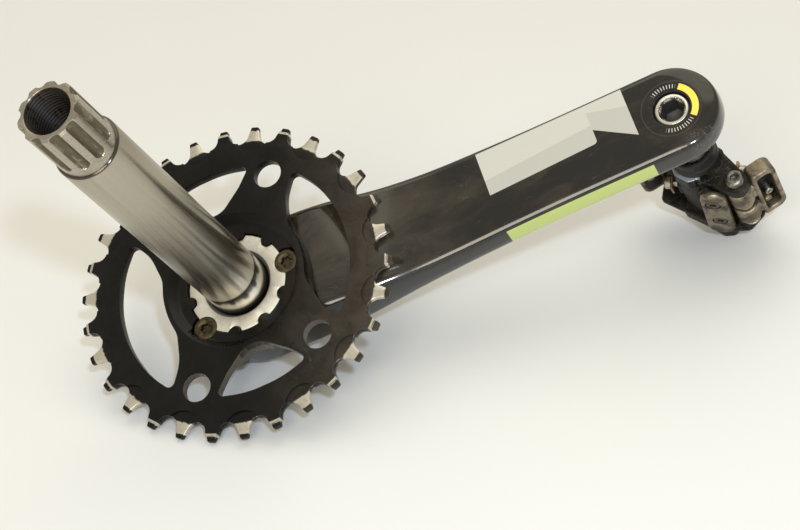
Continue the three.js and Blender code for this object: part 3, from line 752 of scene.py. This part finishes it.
# ---- crank arm --------------------------------------------------------------------------
def station(x, column):
    """A smooth value between the arm's stations."""
    if x <= ARM[0][0]:
        return ARM[0][column]
    if x >= ARM[-1][0]:
        return ARM[-1][column]
    i = next(k for k in range(1, len(ARM)) if ARM[k][0] >= x)
    p = [ARM[max(0, min(len(ARM) - 1, k))] for k in (i - 2, i - 1, i, i + 1)]
    span = p[2][0] - p[1][0]
    t = (x - p[1][0]) / span
    slopes = []
    for low, high in ((p[0], p[2]), (p[1], p[3])):
        run = high[0] - low[0]
        slopes.append((high[column] - low[column]) / run * span if run else 0)
    a, b = p[1][column], p[2][column]
    return (a * (1 - t) ** 2 * (1 + 2 * t) + b * t * t * (3 - 2 * t)
            + slopes[0] * t * (1 - t) ** 2 - slopes[1] * t * t * (1 - t))


def arm_outline(inset, tight):
    """Half of the arm's plan, pulled in by an inset that is tighter along the sides than at the tip."""
    steps = 28
    tip = ARM[-1][HALF_WIDTH] - inset
    side = ARM[-1][HALF_WIDTH] - inset * tight
    hub = ARM[0][HALF_WIDTH] - inset * tight
    points = [(hub * cos(a), hub * sin(a)) for a in (pi - i * pi / 2 / steps for i in range(steps + 1))]
    points += [(x, station(x, HALF_WIDTH) - inset * tight) for x in range(5, 175, 5)]
    for i in range(steps + 1):
        turn = pi / 2 - i * pi / 2 / steps
        reach = side + (tip - side) * min(1.0, cos(turn) * 1.4)
        points.append((CRANK_LENGTH + reach * cos(turn), reach * sin(turn)))
    return points


def arm_levels():
    """Levels from the inner face round the side to the outer face: how far in, offset, which face."""
    inset, drop = 6.9, 0.0
    levels = [(inset, drop, INNER_FACE)]
    for radius, start, end in ((1.6, 0, 16), (6.8, 16, 30), (1.6, 30, 84)):
        for k in range(4):
            low, high = (radians(start + (end - start) * (k + i) / 4) for i in (0, 1))
            inset -= radius * (sin(high) - sin(low)) / EDGE_TIGHT
            drop -= radius * (cos(low) - cos(high))
            levels.append((inset, drop, INNER_FACE))
    levels += [(0.4, -3.6, INNER_FACE), (0.2, -5.6, INNER_FACE), (0.0, -7.4, INNER_FACE)]
    for k in range(9, -1, -1):
        a = pi / 2 * k / 9
        levels.append((11.0 * (1 - sin(a)), 7.0 * (1 - cos(a)), OUTER_FACE))
    return levels


def arm_body():
    levels = arm_levels()
    half = len(arm_outline(0, 1))
    ring = 2 * half - 2
    verts = []
    for inset, offset, column in levels:
        side = arm_outline(inset, EDGE_TIGHT if column == INNER_FACE else 1.0)
        for x, y in side + [(x, -y) for x, y in reversed(side[1:-1])]:
            verts.append((x, y, station(x, column) + offset))
    faces = []
    for level in range(len(levels) - 1):
        for i in range(ring):
            a, b = level * ring + i, level * ring + (i + 1) % ring
            faces.append((a, b, b + ring, a + ring))
    for base in (0, (len(levels) - 1) * ring):
        for i in range(half - 1):
            quad = [base + i, base + i + 1, base + ring - i - 1, base + (ring - i) % ring]
            faces.append(tuple(dict.fromkeys(quad)))
    return from_points("arm", verts, faces)


def drill(r, z0, z1, x=0.0, y=0.0, steps=72):
    return moved(spun("drill", [(0, z0), (r, z0), (r, z1), (0, z1)], steps), x, y)


def build_arm(look):
    boss_bore = drill(17.3, -5, -31.3)
    plug_hole = drill(10.8, -30, -40)
    seat = spun("seat", [(0, -10), (7.65, -10), (7.65, -17.25), (9.7, -17.3), (9.7, -40), (0, -40)], 72)
    arm = carved(arm_body(), boss_bore, plug_hole, moved(seat, CRANK_LENGTH))
    settled(arm, "arm_skin", CRANK, look, "root", "carbon", "crank_arm_shell", sharp=28)


# ---- chainring --------------------------------------------------------------------------
def tooth_outline(tip_r, tip_half):
    """Roller seats on the pitch circle, straight flanks and eased tips."""
    step = 360 / TEETH
    seat_half, seat_steps = 78, 12
    points = []
    for k in range(TEETH):
        tooth = FIRST_TOOTH + k * step
        points.append((*polar(tip_r, tooth - tip_half), 0.55))
        points.append((*polar(tip_r, tooth + tip_half), 0.55))
        cx, cy = polar(PITCH_R, tooth + step / 2)
        for i in range(seat_steps + 1):
            x, y = polar(ROLLER_R, tooth + step / 2 + 180 + seat_half - i * 2 * seat_half / seat_steps)
            points.append((cx + x, cy + y, 0))
    return rounded(points, steps=3)


def window_outline(centre, corners):
    left = [(*polar(r, centre + deg), ease) for r, deg, ease in corners]
    right = [(*polar(r, centre - deg), ease) for r, deg, ease in reversed(corners)]
    return rounded(left + right, steps=7)


def punch(outlines):
    """Straight cutters through the whole ring, as one mesh."""
    return merged(*[slab("cut", [outline], *RING_CUT, 0) for outline in outlines])


def scalloped(a, limit, centre_r, r, angles):
    """Radius of a circle of radius limit that is bitten by discs."""
    for centre in angles:
        off = (a - centre + pi) % (2 * pi) - pi
        side = centre_r * sin(off)
        if abs(off) < 0.5 and abs(side) < r:
            limit = min(limit, centre_r * cos(off) - sqrt(r * r - side * side))
    return limit


def hub_bore(a):
    bolts = [radians(b) for b in BOLT_ANGLES]
    teeth = [s for s in SCALLOP_ANGLES if all(abs((s - b + pi) % (2 * pi) - pi) > 0.1 for b in bolts)]
    return scalloped(a, 20.05, SCALLOP_CENTRE_R, 2.4, teeth)


def build_chainring(look):
    inner_rim = circle(51, steps=120)
    teeth = slab("teeth", [tooth_outline(TIP_R, 1.3), inner_rim], -NARROW_HALF, NARROW_HALF, 0.35)

    holes = [circle(HOLE_R, *polar(HOLE_CENTRE_R, deg), 48) for deg in HOLE_ANGLES]
    windows = [window_outline(centre, corners) for centre, corners in WINDOWS]
    narrow_teeth = [FIRST_TOOTH - (2 * i + 1) * 360 / TEETH for i in range(TEETH // 2)]
    pockets = [circle(POCKET_R, *polar(POCKET_CENTRE_R, deg), 40) for deg in narrow_teeth]
    bore = circle(27.2, steps=120)
    disc = slab("ring", [tooth_outline(WIDE_TIP_R, 1.75), bore], -WIDE_HALF, WIDE_HALF, 0)
    disc = bevelled(carved(disc, punch(pockets), punch(windows + holes)), 0.4, 3, 40)

    hub = shell("hub", [
        (lambda a: hub_bore(a) + 0.25, -1.6), (hub_bore, -WIDE_HALF), (hub_bore, -6.4), (30.4, -6.4),
        (31.2, -5.6), (31.2, 1.2), (30.6, 1.85), (27.6, 1.85), (27.0, 1.6), (24.4, -1.2), (23.9, -1.55),
        (23.3, -1.6),
    ], 360)
    seats = [drill(BOLT_SEAT_R, *RING_CUT, *polar(BOLT_CENTRE_R, deg), 48) for deg in BOLT_ANGLES]
    hub = bevelled(carved(hub, punch(windows), merged(*seats)), 0.45, 3, 50)
    ring = merged(disc, teeth, hub)
    settled(ring, "ring_body", CRANK, look, "root", "black_alloy", "chainring", sharp=38)


def build_bolts(look):
    def lobed(size):
        return lambda a: size * (1 + 0.16 * cos(6 * a))
    for i, deg in enumerate(BOLT_ANGLES):
        bolt = spun("bolt", [
            (0, -5.4), (4.85, -5.4), (4.85, -2.7), (4.6, -2.2), (4.0, -2.0), (3.2, -2.0), (2.8, -2.3),
            (lobed(2.1), -2.5), (lobed(1.95), -2.7), (lobed(1.9), -4.3), (0, -4.6),
        ], 72)
        bolt = moved(bolt, *polar(BOLT_CENTRE_R, deg))
        settled(bolt, f"ring_screw_{i + 1}", CRANK, look, "root", "bronze", f"chainring_bolt_{i + 1}")


# ---- hub and spindle --------------------------------------------------------------------
def build_boss(look):
    def rim(grow):
        return lambda a: scalloped(a, 19.75, SCALLOP_CENTRE_R, 2.7, SCALLOP_ANGLES) - grow
    boss = shell("boss", [
        (13.9, -2.4), (rim(0.35), -2.4), (rim(0.1), -2.5), (rim(0), -2.75), (rim(0), -6.6), (17, -6.7),
        (17, -31), (12.25, -31), (12.25, -4.6), (12.6, -4.2), (13.5, -2.8), (13.65, -2.5),
    ], 360)
    settled(boss, "spline_ring", CRANK, look, "root", "boss_alloy", "spline_boss")


def spline_radius(a, z):
    """Outer radius of the spindle's splined end: round-bottomed grooves with round ends."""
    groove, centre_r = 2.15, 11.5
    crest = 11.0 - max(0.0, z - CHAMFER_Z)
    step = 2 * pi / SPLINES
    off = ((a - FIRST_SPLINE + step / 2) % step - step / 2) * crest
    d = hypot(off, max(0.0, GROOVE_END_Z - z))
    if d < groove:
        crest = min(crest, centre_r - sqrt(groove * groove - d * d))
    return crest


def build_spindle(look):
    rows = [
        (9.6, -27), (12, -27), (12, 2), (12, 8.8), (11.93, 9.0), (11.93, 9.3), (12, 9.5), (12, 40), (12, 80),
        (12, 120.6), (11.75, 121.2), (11.4, 121.5), (11.05, SHOULDER_Z), (11.0, 121.9), (11.0, 123.2),
    ]
    heights = [124.6 + 0.2 * i for i in range(16)] + [129.5 + i for i in range(17)]
    heights += [146.6, CHAMFER_Z, 147.6, SPINDLE_TOP]
    rows += [((lambda a, z=z: spline_radius(a, z)), z) for z in heights]
    rows += [(8.6, SPINDLE_TOP), (8.3, 147.9), (8.05, 147.6), (THREAD_R, 147.1), (THREAD_R, 124.5)]
    rows.append((9.6, 118.5))
    settled(shell("spindle", rows, 360), "spindle_tube", CRANK, look, "root", "steel", "spindle", sharp=40)


def build_hub_cap(look):
    cap = lathe("cap", [
        (0, -33.4, 0), (5.2, -33.4, 0.3), (5.6, -34.8, 0.3), (8.4, -34.8, 0.5), (10.5, -34.1, 0.6),
        (10.5, -31.6, 0.2), (9.2, -31.6, 0.1), (9.2, -28, 0.2), (7.6, -28, 0.2), (7.6, -32.8, 0.2),
        (0, -32.8, 0),
    ])
    notches = []
    for i in range(8):
        notches.append(turned(block("notch", (5.9, 7.5), (-0.8, 0.8), (-36, -34.2), 0.1, 1), 45 * i))
    settled(carved(cap, merged(*notches)), "hub_plug", CRANK, look, "root", "plastic", "hub_cap")


# ---- pedal ------------------------------------------------------------------------------
def hexagon(apothem):
    return lambda a: apothem / cos((a + pi / 6) % (pi / 3) - pi / 6)


def build_axle(looks):
    insert = tube("insert", [(7.2, -17.45, 0.1), (9.6, -17.45, 0.1), (9.6, -32.7, 0.2), (7.2, -32.7, 0.2)])
    settled(insert, "thread_insert", PEDAL, looks["insert"], "root", "insert_alloy", "pedal_insert")
    washer = tube("washer", [(7.2, -33.3, 0.15), (9.0, -33.3, 0.2), (9.0, -34.6, 0.2), (7.2, -34.6, 0.15)])
    settled(washer, "axle_washer", PEDAL, looks["steel"], "root", "steel", "pedal_washer")
    rows = rounded([
        (0, -101, 0), (3.4, -101, 0.5), (3.4, -92, 0.3), (4.6, -91, 0.3), (4.6, -84, 0.5), (5.6, -82, 0.5),
        (5.6, -61, 0.5), (7.6, -59.5, 0.5), (7.6, -38.5, 0.2), (8.2, -38, 0.3), (8.2, -34.9, 0.4),
        (6.9, -34.9, 0.1), (6.9, -18.6, 0.5), (6.15, -17.9, 0.25), (5.35, -17.75, 0.25), (4.95, -18.3, 0.2),
    ], closed=False, steps=4)
    rows += [(4.85, -18.6), (hexagon(4.35), -19.0), (hexagon(4.05), -19.5), (hexagon(4.0), -20.5),
             (hexagon(4.0), -27.0), (2.6, -27.3), (0, -28.2)]
    axle = spun("axle", rows, 192)
    settled(axle, "axle_shaft", PEDAL, looks["axle"], "root", "chromed_steel", "pedal_axle", sharp=30)


def both_ways(points):
    """Outline from its first half, the second being the same turned half a turn."""
    return rounded(points + [(-x, -y, ease) for x, y, ease in points])


def pedal_casting():
    cheek = both_ways([(21.5, 3, 2), (21.3, -8, 3), (16.5, -14.9, 3.5), (6, -15.8, 2), (-3, -11.4, 3)])
    foot = both_ways([(12, 7.3, 2), (12, -9, 3), (10, -15.4, 3), (5, -15.8, 2), (-3, -11.4, 3)])
    flank = rounded([(9.4, 5, 1), (2, 9.4, 2), (-3, 9.4, 2), (-3, -9, 1), (9.4, -9, 1)])
    web = rounded([(-2, -6, 1), (10, -12.5, 1.5), (15.5, -15, 2), (15.5, -8, 2), (4, -2, 1)])
    facet = ((-9.5, -4.1), (-6.1, -4.5), (0.1, -7.3), (1.3, -10.4), (-1.9, -11.4), (-7.4, -8.5))
    parts = [slab("body", [cheek], -99.6, -96, 1.2, 3), slab("foot", [foot], -104, -98, 1.4, 3)]
    for degrees in (0, 180):
        half = (
            slab("bar", [capsule(0, 0, PIN_F, PIN_T, 9.0, 4.9)], -66, -60, 1.0, 3),
            block("wall", (1, 10.6), (-13.0, -5), (-94, -65.5), 1.2),
            slab("flank", [flank], -97, -64, 0.8),
            block("lug", (7.5, 10.4), (-0.6, 5.6), (-84, -76), 0.6),
            slab("web", [web], -97, -92, 0.8),
        )
        parts += [turned(part, degrees) for part in half]
    parts.append(slab("facet", [rounded([(x, y, 0.5) for x, y in facet])], -66, -59.8, 0.4))
    parts.append(tube("collar", [(7.9, -66, 0.2), (9.4, -66, 0.3), (9.4, -60.2, 0.8), (7.9, -60.2, 0.4)]))
    parts.append(moved(lathe("core", [(0, 0, 0), (9.4, 0, 0.8), (9.4, 37, 0.8), (0, 37, 0)], 64), z=-97))
    return cast(0.32, 5, *parts)


def build_pedal_body(looks):
    bores = [spun("bore", [(0, -107), (7.6, -107), (7.6, -61), (7.9, -60.8), (7.9, -50), (0, -50)], 96)]
    bores += [turned(drill(PIN_HOLE_R, -106, -55, PIN_F, PIN_T, 32), degrees) for degrees in (0, 180)]
    body = carved(pedal_casting(), *bores)
    settled(body, "pedal_frame", PEDAL, looks["paint"], "pedal", "pedal_paint", "pedal_body", sharp=60)
    collar = tube("sleeve", [
        (7.9, -59.7, 0.2), (9.4, -59.7, 0.3), (9.4, -56.2, 0.3), (9.1, -55.8, 0.2),
        (9.1, -52.5, 0.2), (9.4, -52.2, 0.2), (9.3, -50, 0.5), (7.9, -50, 0.3),
    ])
    settled(collar, "collar_sleeve", PEDAL, looks["plastic"], "pedal", "plastic", "axle_lock_sleeve")
    cap = lathe("cap", [
        (0, -105.2, 0), (3.0, -105.2, 0.3), (3.4, -106, 0.3), (7.2, -106, 0.5), (8.4, -105.4, 0.4),
        (8.4, -104.3, 0.2), (7.3, -104.3, 0.1), (7.3, -102, 0.2), (5.6, -102, 0.2), (5.6, -104.6, 0.2),
        (0, -104.6, 0),
    ])
    settled(cap, "end_plug", PEDAL, looks["plastic"], "pedal", "plastic", "pedal_end_cap")


def on_claw(obj, z):
    """From upright to its screw's place on the claw."""
    return moved(turned(obj, 90, "X"), CLAW_F, CLAW_T - 0.1, z)


def build_claw(letter, place, looks):
    claw = slab("claw", [capsule(0.6, 12, -0.8, -13, 5.2, 5.5, 24)], -1.6, 1.6, 1.3, 5)
    claw = moved(turned(claw, 90, "X"), CLAW_F, CLAW_T, CLAW_Z)
    bore = [(0, -6), (1.8, -6), (1.8, 0.3), (3.15, 0.31), (3.15, 4), (0, 4)]
    claw = carved(claw, merged(*[on_claw(spun("hole", bore, 40), z) for z in CLAW_SCREW_Z]))
    settled(claw, f"claw_{letter}", place, looks["worn"][letter], "pedal", "worn_steel",
            f"fixed_claw_{letter}", sharp=40)
    for i, z in enumerate(CLAW_SCREW_Z):
        screw = spun("screw", [
            (0, -4.8), (1.5, -4.8), (1.5, 0.4), (2.8, 0.45), (2.8, 1.2), (2.5, 1.5), (1.6, 1.5),
            (hexagon(1.25), 1.35), (hexagon(1.25), 0.6), (0, 0.5),
        ])
        number = f"{letter}{i + 1}"
        settled(on_claw(screw, z), f"claw_bolt_{number}", place, looks["dark_steel"], "pedal", "steel",
                f"claw_screw_{number}")


def on_pin(obj):
    """From the jaw's own directions, out from its pivot pin, to the pedal's."""
    return moved(turned(obj, JAW_ANGLE), PIN_F, PIN_T)


def jaw_casting():
    rim = rounded(
        [(0, 0, 1.5), (0, JAW_LENGTH, 1.5), (JAW_REACH, JAW_LENGTH, 4.2), (JAW_REACH, 0, 4.2)], steps=8,
    )
    near, far, low, high = 1.9, JAW_REACH - 2.1, 2.8, JAW_LENGTH - 2.8
    gap = rounded([(near, low, 1.8), (near, high, 1.8), (far, high, 3), (far, low, 3)], steps=6)
    strap = turned(slab("jaw", [rim, gap], -3.4, 3.4, 0.8, 4), 90, "X")
    parts = [on_pin(moved(strap, JAW_OUT, 0, JAW_FOOT_Z))]
    for z0, z1 in KNUCKLES:
        barrel = lathe("barrel", [(0, z1, 0), (5, z1, 0.9), (5, z0, 0.9), (0, z0, 0)], 64)
        web = block("web", (0, 6.4), (-2.8, 2.8), (z1 + 0.4, z0 - 0.4), 0.6)
        parts += [moved(barrel, PIN_F, PIN_T), on_pin(web)]
    return carved(cast(0.26, 4, *parts), drill(1.9, -110, -55, PIN_F, PIN_T, 32))


def coil(z0, z1):
    """One of the jaw springs' coils, round the pivot pin."""
    radius, wire = 3.2, 0.5
    data = bpy.data.curves.new("coil", "CURVE")
    data.dimensions = "3D"
    data.bevel_depth = wire
    data.bevel_resolution = 4
    data.use_fill_caps = True
    spline = data.splines.new("POLY")
    count = COIL_TURNS * 36
    spline.points.add(count)
    for i, point in enumerate(spline.points):
        a = 2 * pi * COIL_TURNS * i / count
        point.co = (PIN_F + radius * cos(a), PIN_T + radius * sin(a), z0 + (z1 - z0) * i / count, 1)
    return baked(link("coil", data))


def build_jaw(letter, place, looks):
    """The jaw, and what is inside its loop: a back plate, a stud and a shim."""
    jaw = f"jaw_{letter}"
    settled(jaw_casting(), f"jaw_frame_{letter}", place, looks["worn"][letter], jaw, "worn_steel", jaw,
            sharp=60)
    back = slab("back", [rounded([(0, 1.5, 1), (0, 32, 1), (8.6, 32, 3), (8.6, 1.5, 3)])], -3.3, -2.5, 0.3)
    back = on_pin(moved(turned(back, 90, "X"), JAW_OUT, 0, JAW_FOOT_Z))
    settled(back, f"jaw_back_{letter}", place, looks["paint"], jaw, "pedal_paint")
    stud = lathe("stud", [
        (0, -1, 0), (1.8, -1, 0), (1.8, 3, 0.5), (0.9, 3.1, 0.1), (0.8, 2.2, 0), (0, 2.2, 0),
    ], 32)
    stud = on_pin(moved(turned(stud, 90, "X"), 10.6, 2.4, -83.4))
    settled(stud, f"catch_stud_{letter}", place, looks["steel"], jaw, "steel")
    shim = on_pin(block("shim", (7.6, 10.4), (-1.4, 2.9), (-88.8, -86.2), 0.3, 2))
    settled(shim, f"catch_shim_{letter}", place, looks["bronze"], jaw, "bronze")


def build_hinge(letter, place, looks):
    pin = spun("pin", [
        (0, -99.4), (1.6, -99.4), (1.6, -59.6), (3.6, -59.6), (3.6, -58.0), (3.2, -57.3), (2.4, -57.0),
        (hexagon(1.45), -57.2), (hexagon(1.3), -58.4), (0, -58.7),
    ], 60)
    pin = moved(pin, PIN_F, PIN_T)
    settled(pin, f"hinge_pin_{letter}", place, looks["pin"], "pedal", "steel", f"pivot_pin_{letter}")
    for i, (z0, z1) in enumerate(COILS):
        number = f"{letter}{i + 1}"
        settled(coil(z0 - 0.5, z1 + 0.5), f"coil_{number}", place, looks["spring"], "pedal", "spring_steel",
                f"torsion_spring_{number}", sharp=50)


def build_adjuster(letter, place, looks):
    name = f"tension_screw_{letter}"
    screw = spun("screw", [
        (0, 8.2), (1.5, 8.2), (1.5, 13.5), (2.5, 13.6), (2.5, 15.6), (2.2, 16.0), (1.6, 16.0),
        (hexagon(1.2), 15.8), (hexagon(1.2), 14.8), (0, 14.6),
    ])
    screw = moved(turned(screw, 90, "Y"), 0, ADJUSTER_T, ADJUSTER_Z)
    settled(screw, f"adjuster_{letter}", place, looks["steel"], name, "steel", name)
    plate = carved(block("plate", (-3, 3), (-3.4, 3.4), (12.3, 13.3), 0.25, 2), drill(1.8, 10, 16, steps=32))
    plate = moved(turned(plate, 90, "Y"), 0, ADJUSTER_T, ADJUSTER_Z)
    settled(plate, f"adjuster_plate_{letter}", place, looks["bronze"], "pedal", "bronze",
            f"tension_plate_{letter}")


# ---- the inner pieces stay as they are, with their own finishes --------------------------
def finish_inner_nodes(looks):
    names = {"arm_foam_core": "foam", "inner_bush": "bronze", "outer_bearing": "steel", "axle_nut": "steel"}
    for name, key in names.items():
        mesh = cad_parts[name].data
        mesh.materials.clear()
        mesh.materials.append(looks[key])


# ---- scene ------------------------------------------------------------------------------
def build_floor():
    floor = from_points("bench", [(-4, -4, 0), (4, -4, 0), (4, 4, 0), (-4, 4, 0)], [(0, 1, 2, 3)])
    look = Look("bench_laminate", Matrix.Scale(0.001, 4))
    cloud = look.noise(0.006, 3.0, 0.5)
    specks = look.step(look.noise(0.35, 2.0, 0.5), 0.76, 0.80)
    look.colour = look.mix(cloud, (0.80, 0.795, 0.77), (0.84, 0.835, 0.81))
    look.lay((0.35, 0.27, 0.16), specks, 0.10)
    floor.data.materials.append(look.done(0.5, 0.0, look.noise(0.8, 3.0), 0.02))


def area(name, at, aim, size, power, colour):
    data = bpy.data.lights.new(name, "AREA")
    data.shape = "ELLIPSE"
    data.size, data.size_y = size
    data.energy = power
    data.color = colour
    obj = link(name, data)
    obj.location = at
    obj.rotation_mode = "QUATERNION"
    obj.rotation_quaternion = (Vector(aim) - Vector(at)).to_track_quat("-Z", "Y")
    return obj


def build_light():
    key = Vector((0.103, -0.753, 0.649)).normalized() * 1.25
    area("key", key, (0, 0, 0.03), (0.07, 0.07), 6.7, (0.66, 0.80, 1.0))
    area("ceiling", (0.15, 0.6, 1.5), (0, 0, 0), (1.7, 1.7), 6.9, (1.0, 0.96, 0.80))
    area("fill", (-0.35, -1.15, 0.80), (0, 0, 0.03), (0.64, 0.5), 6.6, (1.0, 0.93, 0.79))
    world = bpy.data.worlds.new("room")
    bpy.context.scene.world = world
    world.use_nodes = True
    world.node_tree.nodes["Background"].inputs["Color"].default_value = (1.0, 0.945, 0.82, 1)
    world.node_tree.nodes["Background"].inputs["Strength"].default_value = 0.60


def build_camera():
    data = bpy.data.cameras.new("camera")
    data.lens = 93.2
    data.sensor_width = 36
    data.clip_start = 0.02
    camera = link("camera", data)
    place = CRANK @ Matrix.Translation(CAMERA_AT)
    turn = CRANK.to_3x3().normalized()
    right, up = turn @ CAMERA_RIGHT, turn @ CAMERA_UP
    axes = Matrix((right, up, right.cross(up))).transposed().to_4x4()
    camera.matrix_world = Matrix.Translation(place.translation) @ axes
    bpy.context.scene.camera = camera
    bpy.context.scene.view_settings.view_transform = "Standard"


finishes = {
    "axle": axle_look(),
    "bronze": plain_metal("dull_bronze", PEDAL, (0.22, 0.165, 0.075), (0.42, 0.33, 0.17), 0.38, amount=0.6),
    "dark_steel": plain_metal("dark_steel", PEDAL, (0.07, 0.06, 0.045), (0.20, 0.17, 0.13), 0.4, amount=0.6),
    "foam": foam_look(),
    "insert": plain_metal("insert_black", PEDAL, (0.018, 0.016, 0.014), (0.05, 0.045, 0.04), 0.45, 0.4, 0.3),
    "paint": body_look(),
    "pin": plain_metal("pin_steel", PEDAL, (0.10, 0.092, 0.08), (0.28, 0.26, 0.23), 0.3),
    "plastic": moulded_look("moulded_black", PEDAL),
    "spring": plain_metal("spring_wire", PEDAL, (0.30, 0.26, 0.18), (0.58, 0.52, 0.40), 0.3, amount=0.4),
    "steel": plain_metal("small_steel", PEDAL, (0.34, 0.32, 0.27), (0.62, 0.59, 0.53), 0.3),
    "worn": {letter: worn_look(f"worn_cast_steel_{letter}", place) for letter, place in SIDES},
}

build_arm(carbon_look())
build_chainring(ring_look())
build_bolts(plain_metal("screw_bronze", CRANK, (0.05, 0.039, 0.021), (0.125, 0.098, 0.054), 0.42, amount=0.7))
build_boss(boss_look())
build_spindle(spindle_look())
build_hub_cap(moulded_look("moulded_cap", CRANK))
build_axle(finishes)
build_pedal_body(finishes)
for letter, place in SIDES:
    build_claw(letter, place, finishes)
for letter, place in SIDES:
    build_jaw(letter, place, finishes)
    build_hinge(letter, place, finishes)
    build_adjuster(letter, place, finishes)
finish_inner_nodes(finishes)
build_floor()
build_light()
build_camera()
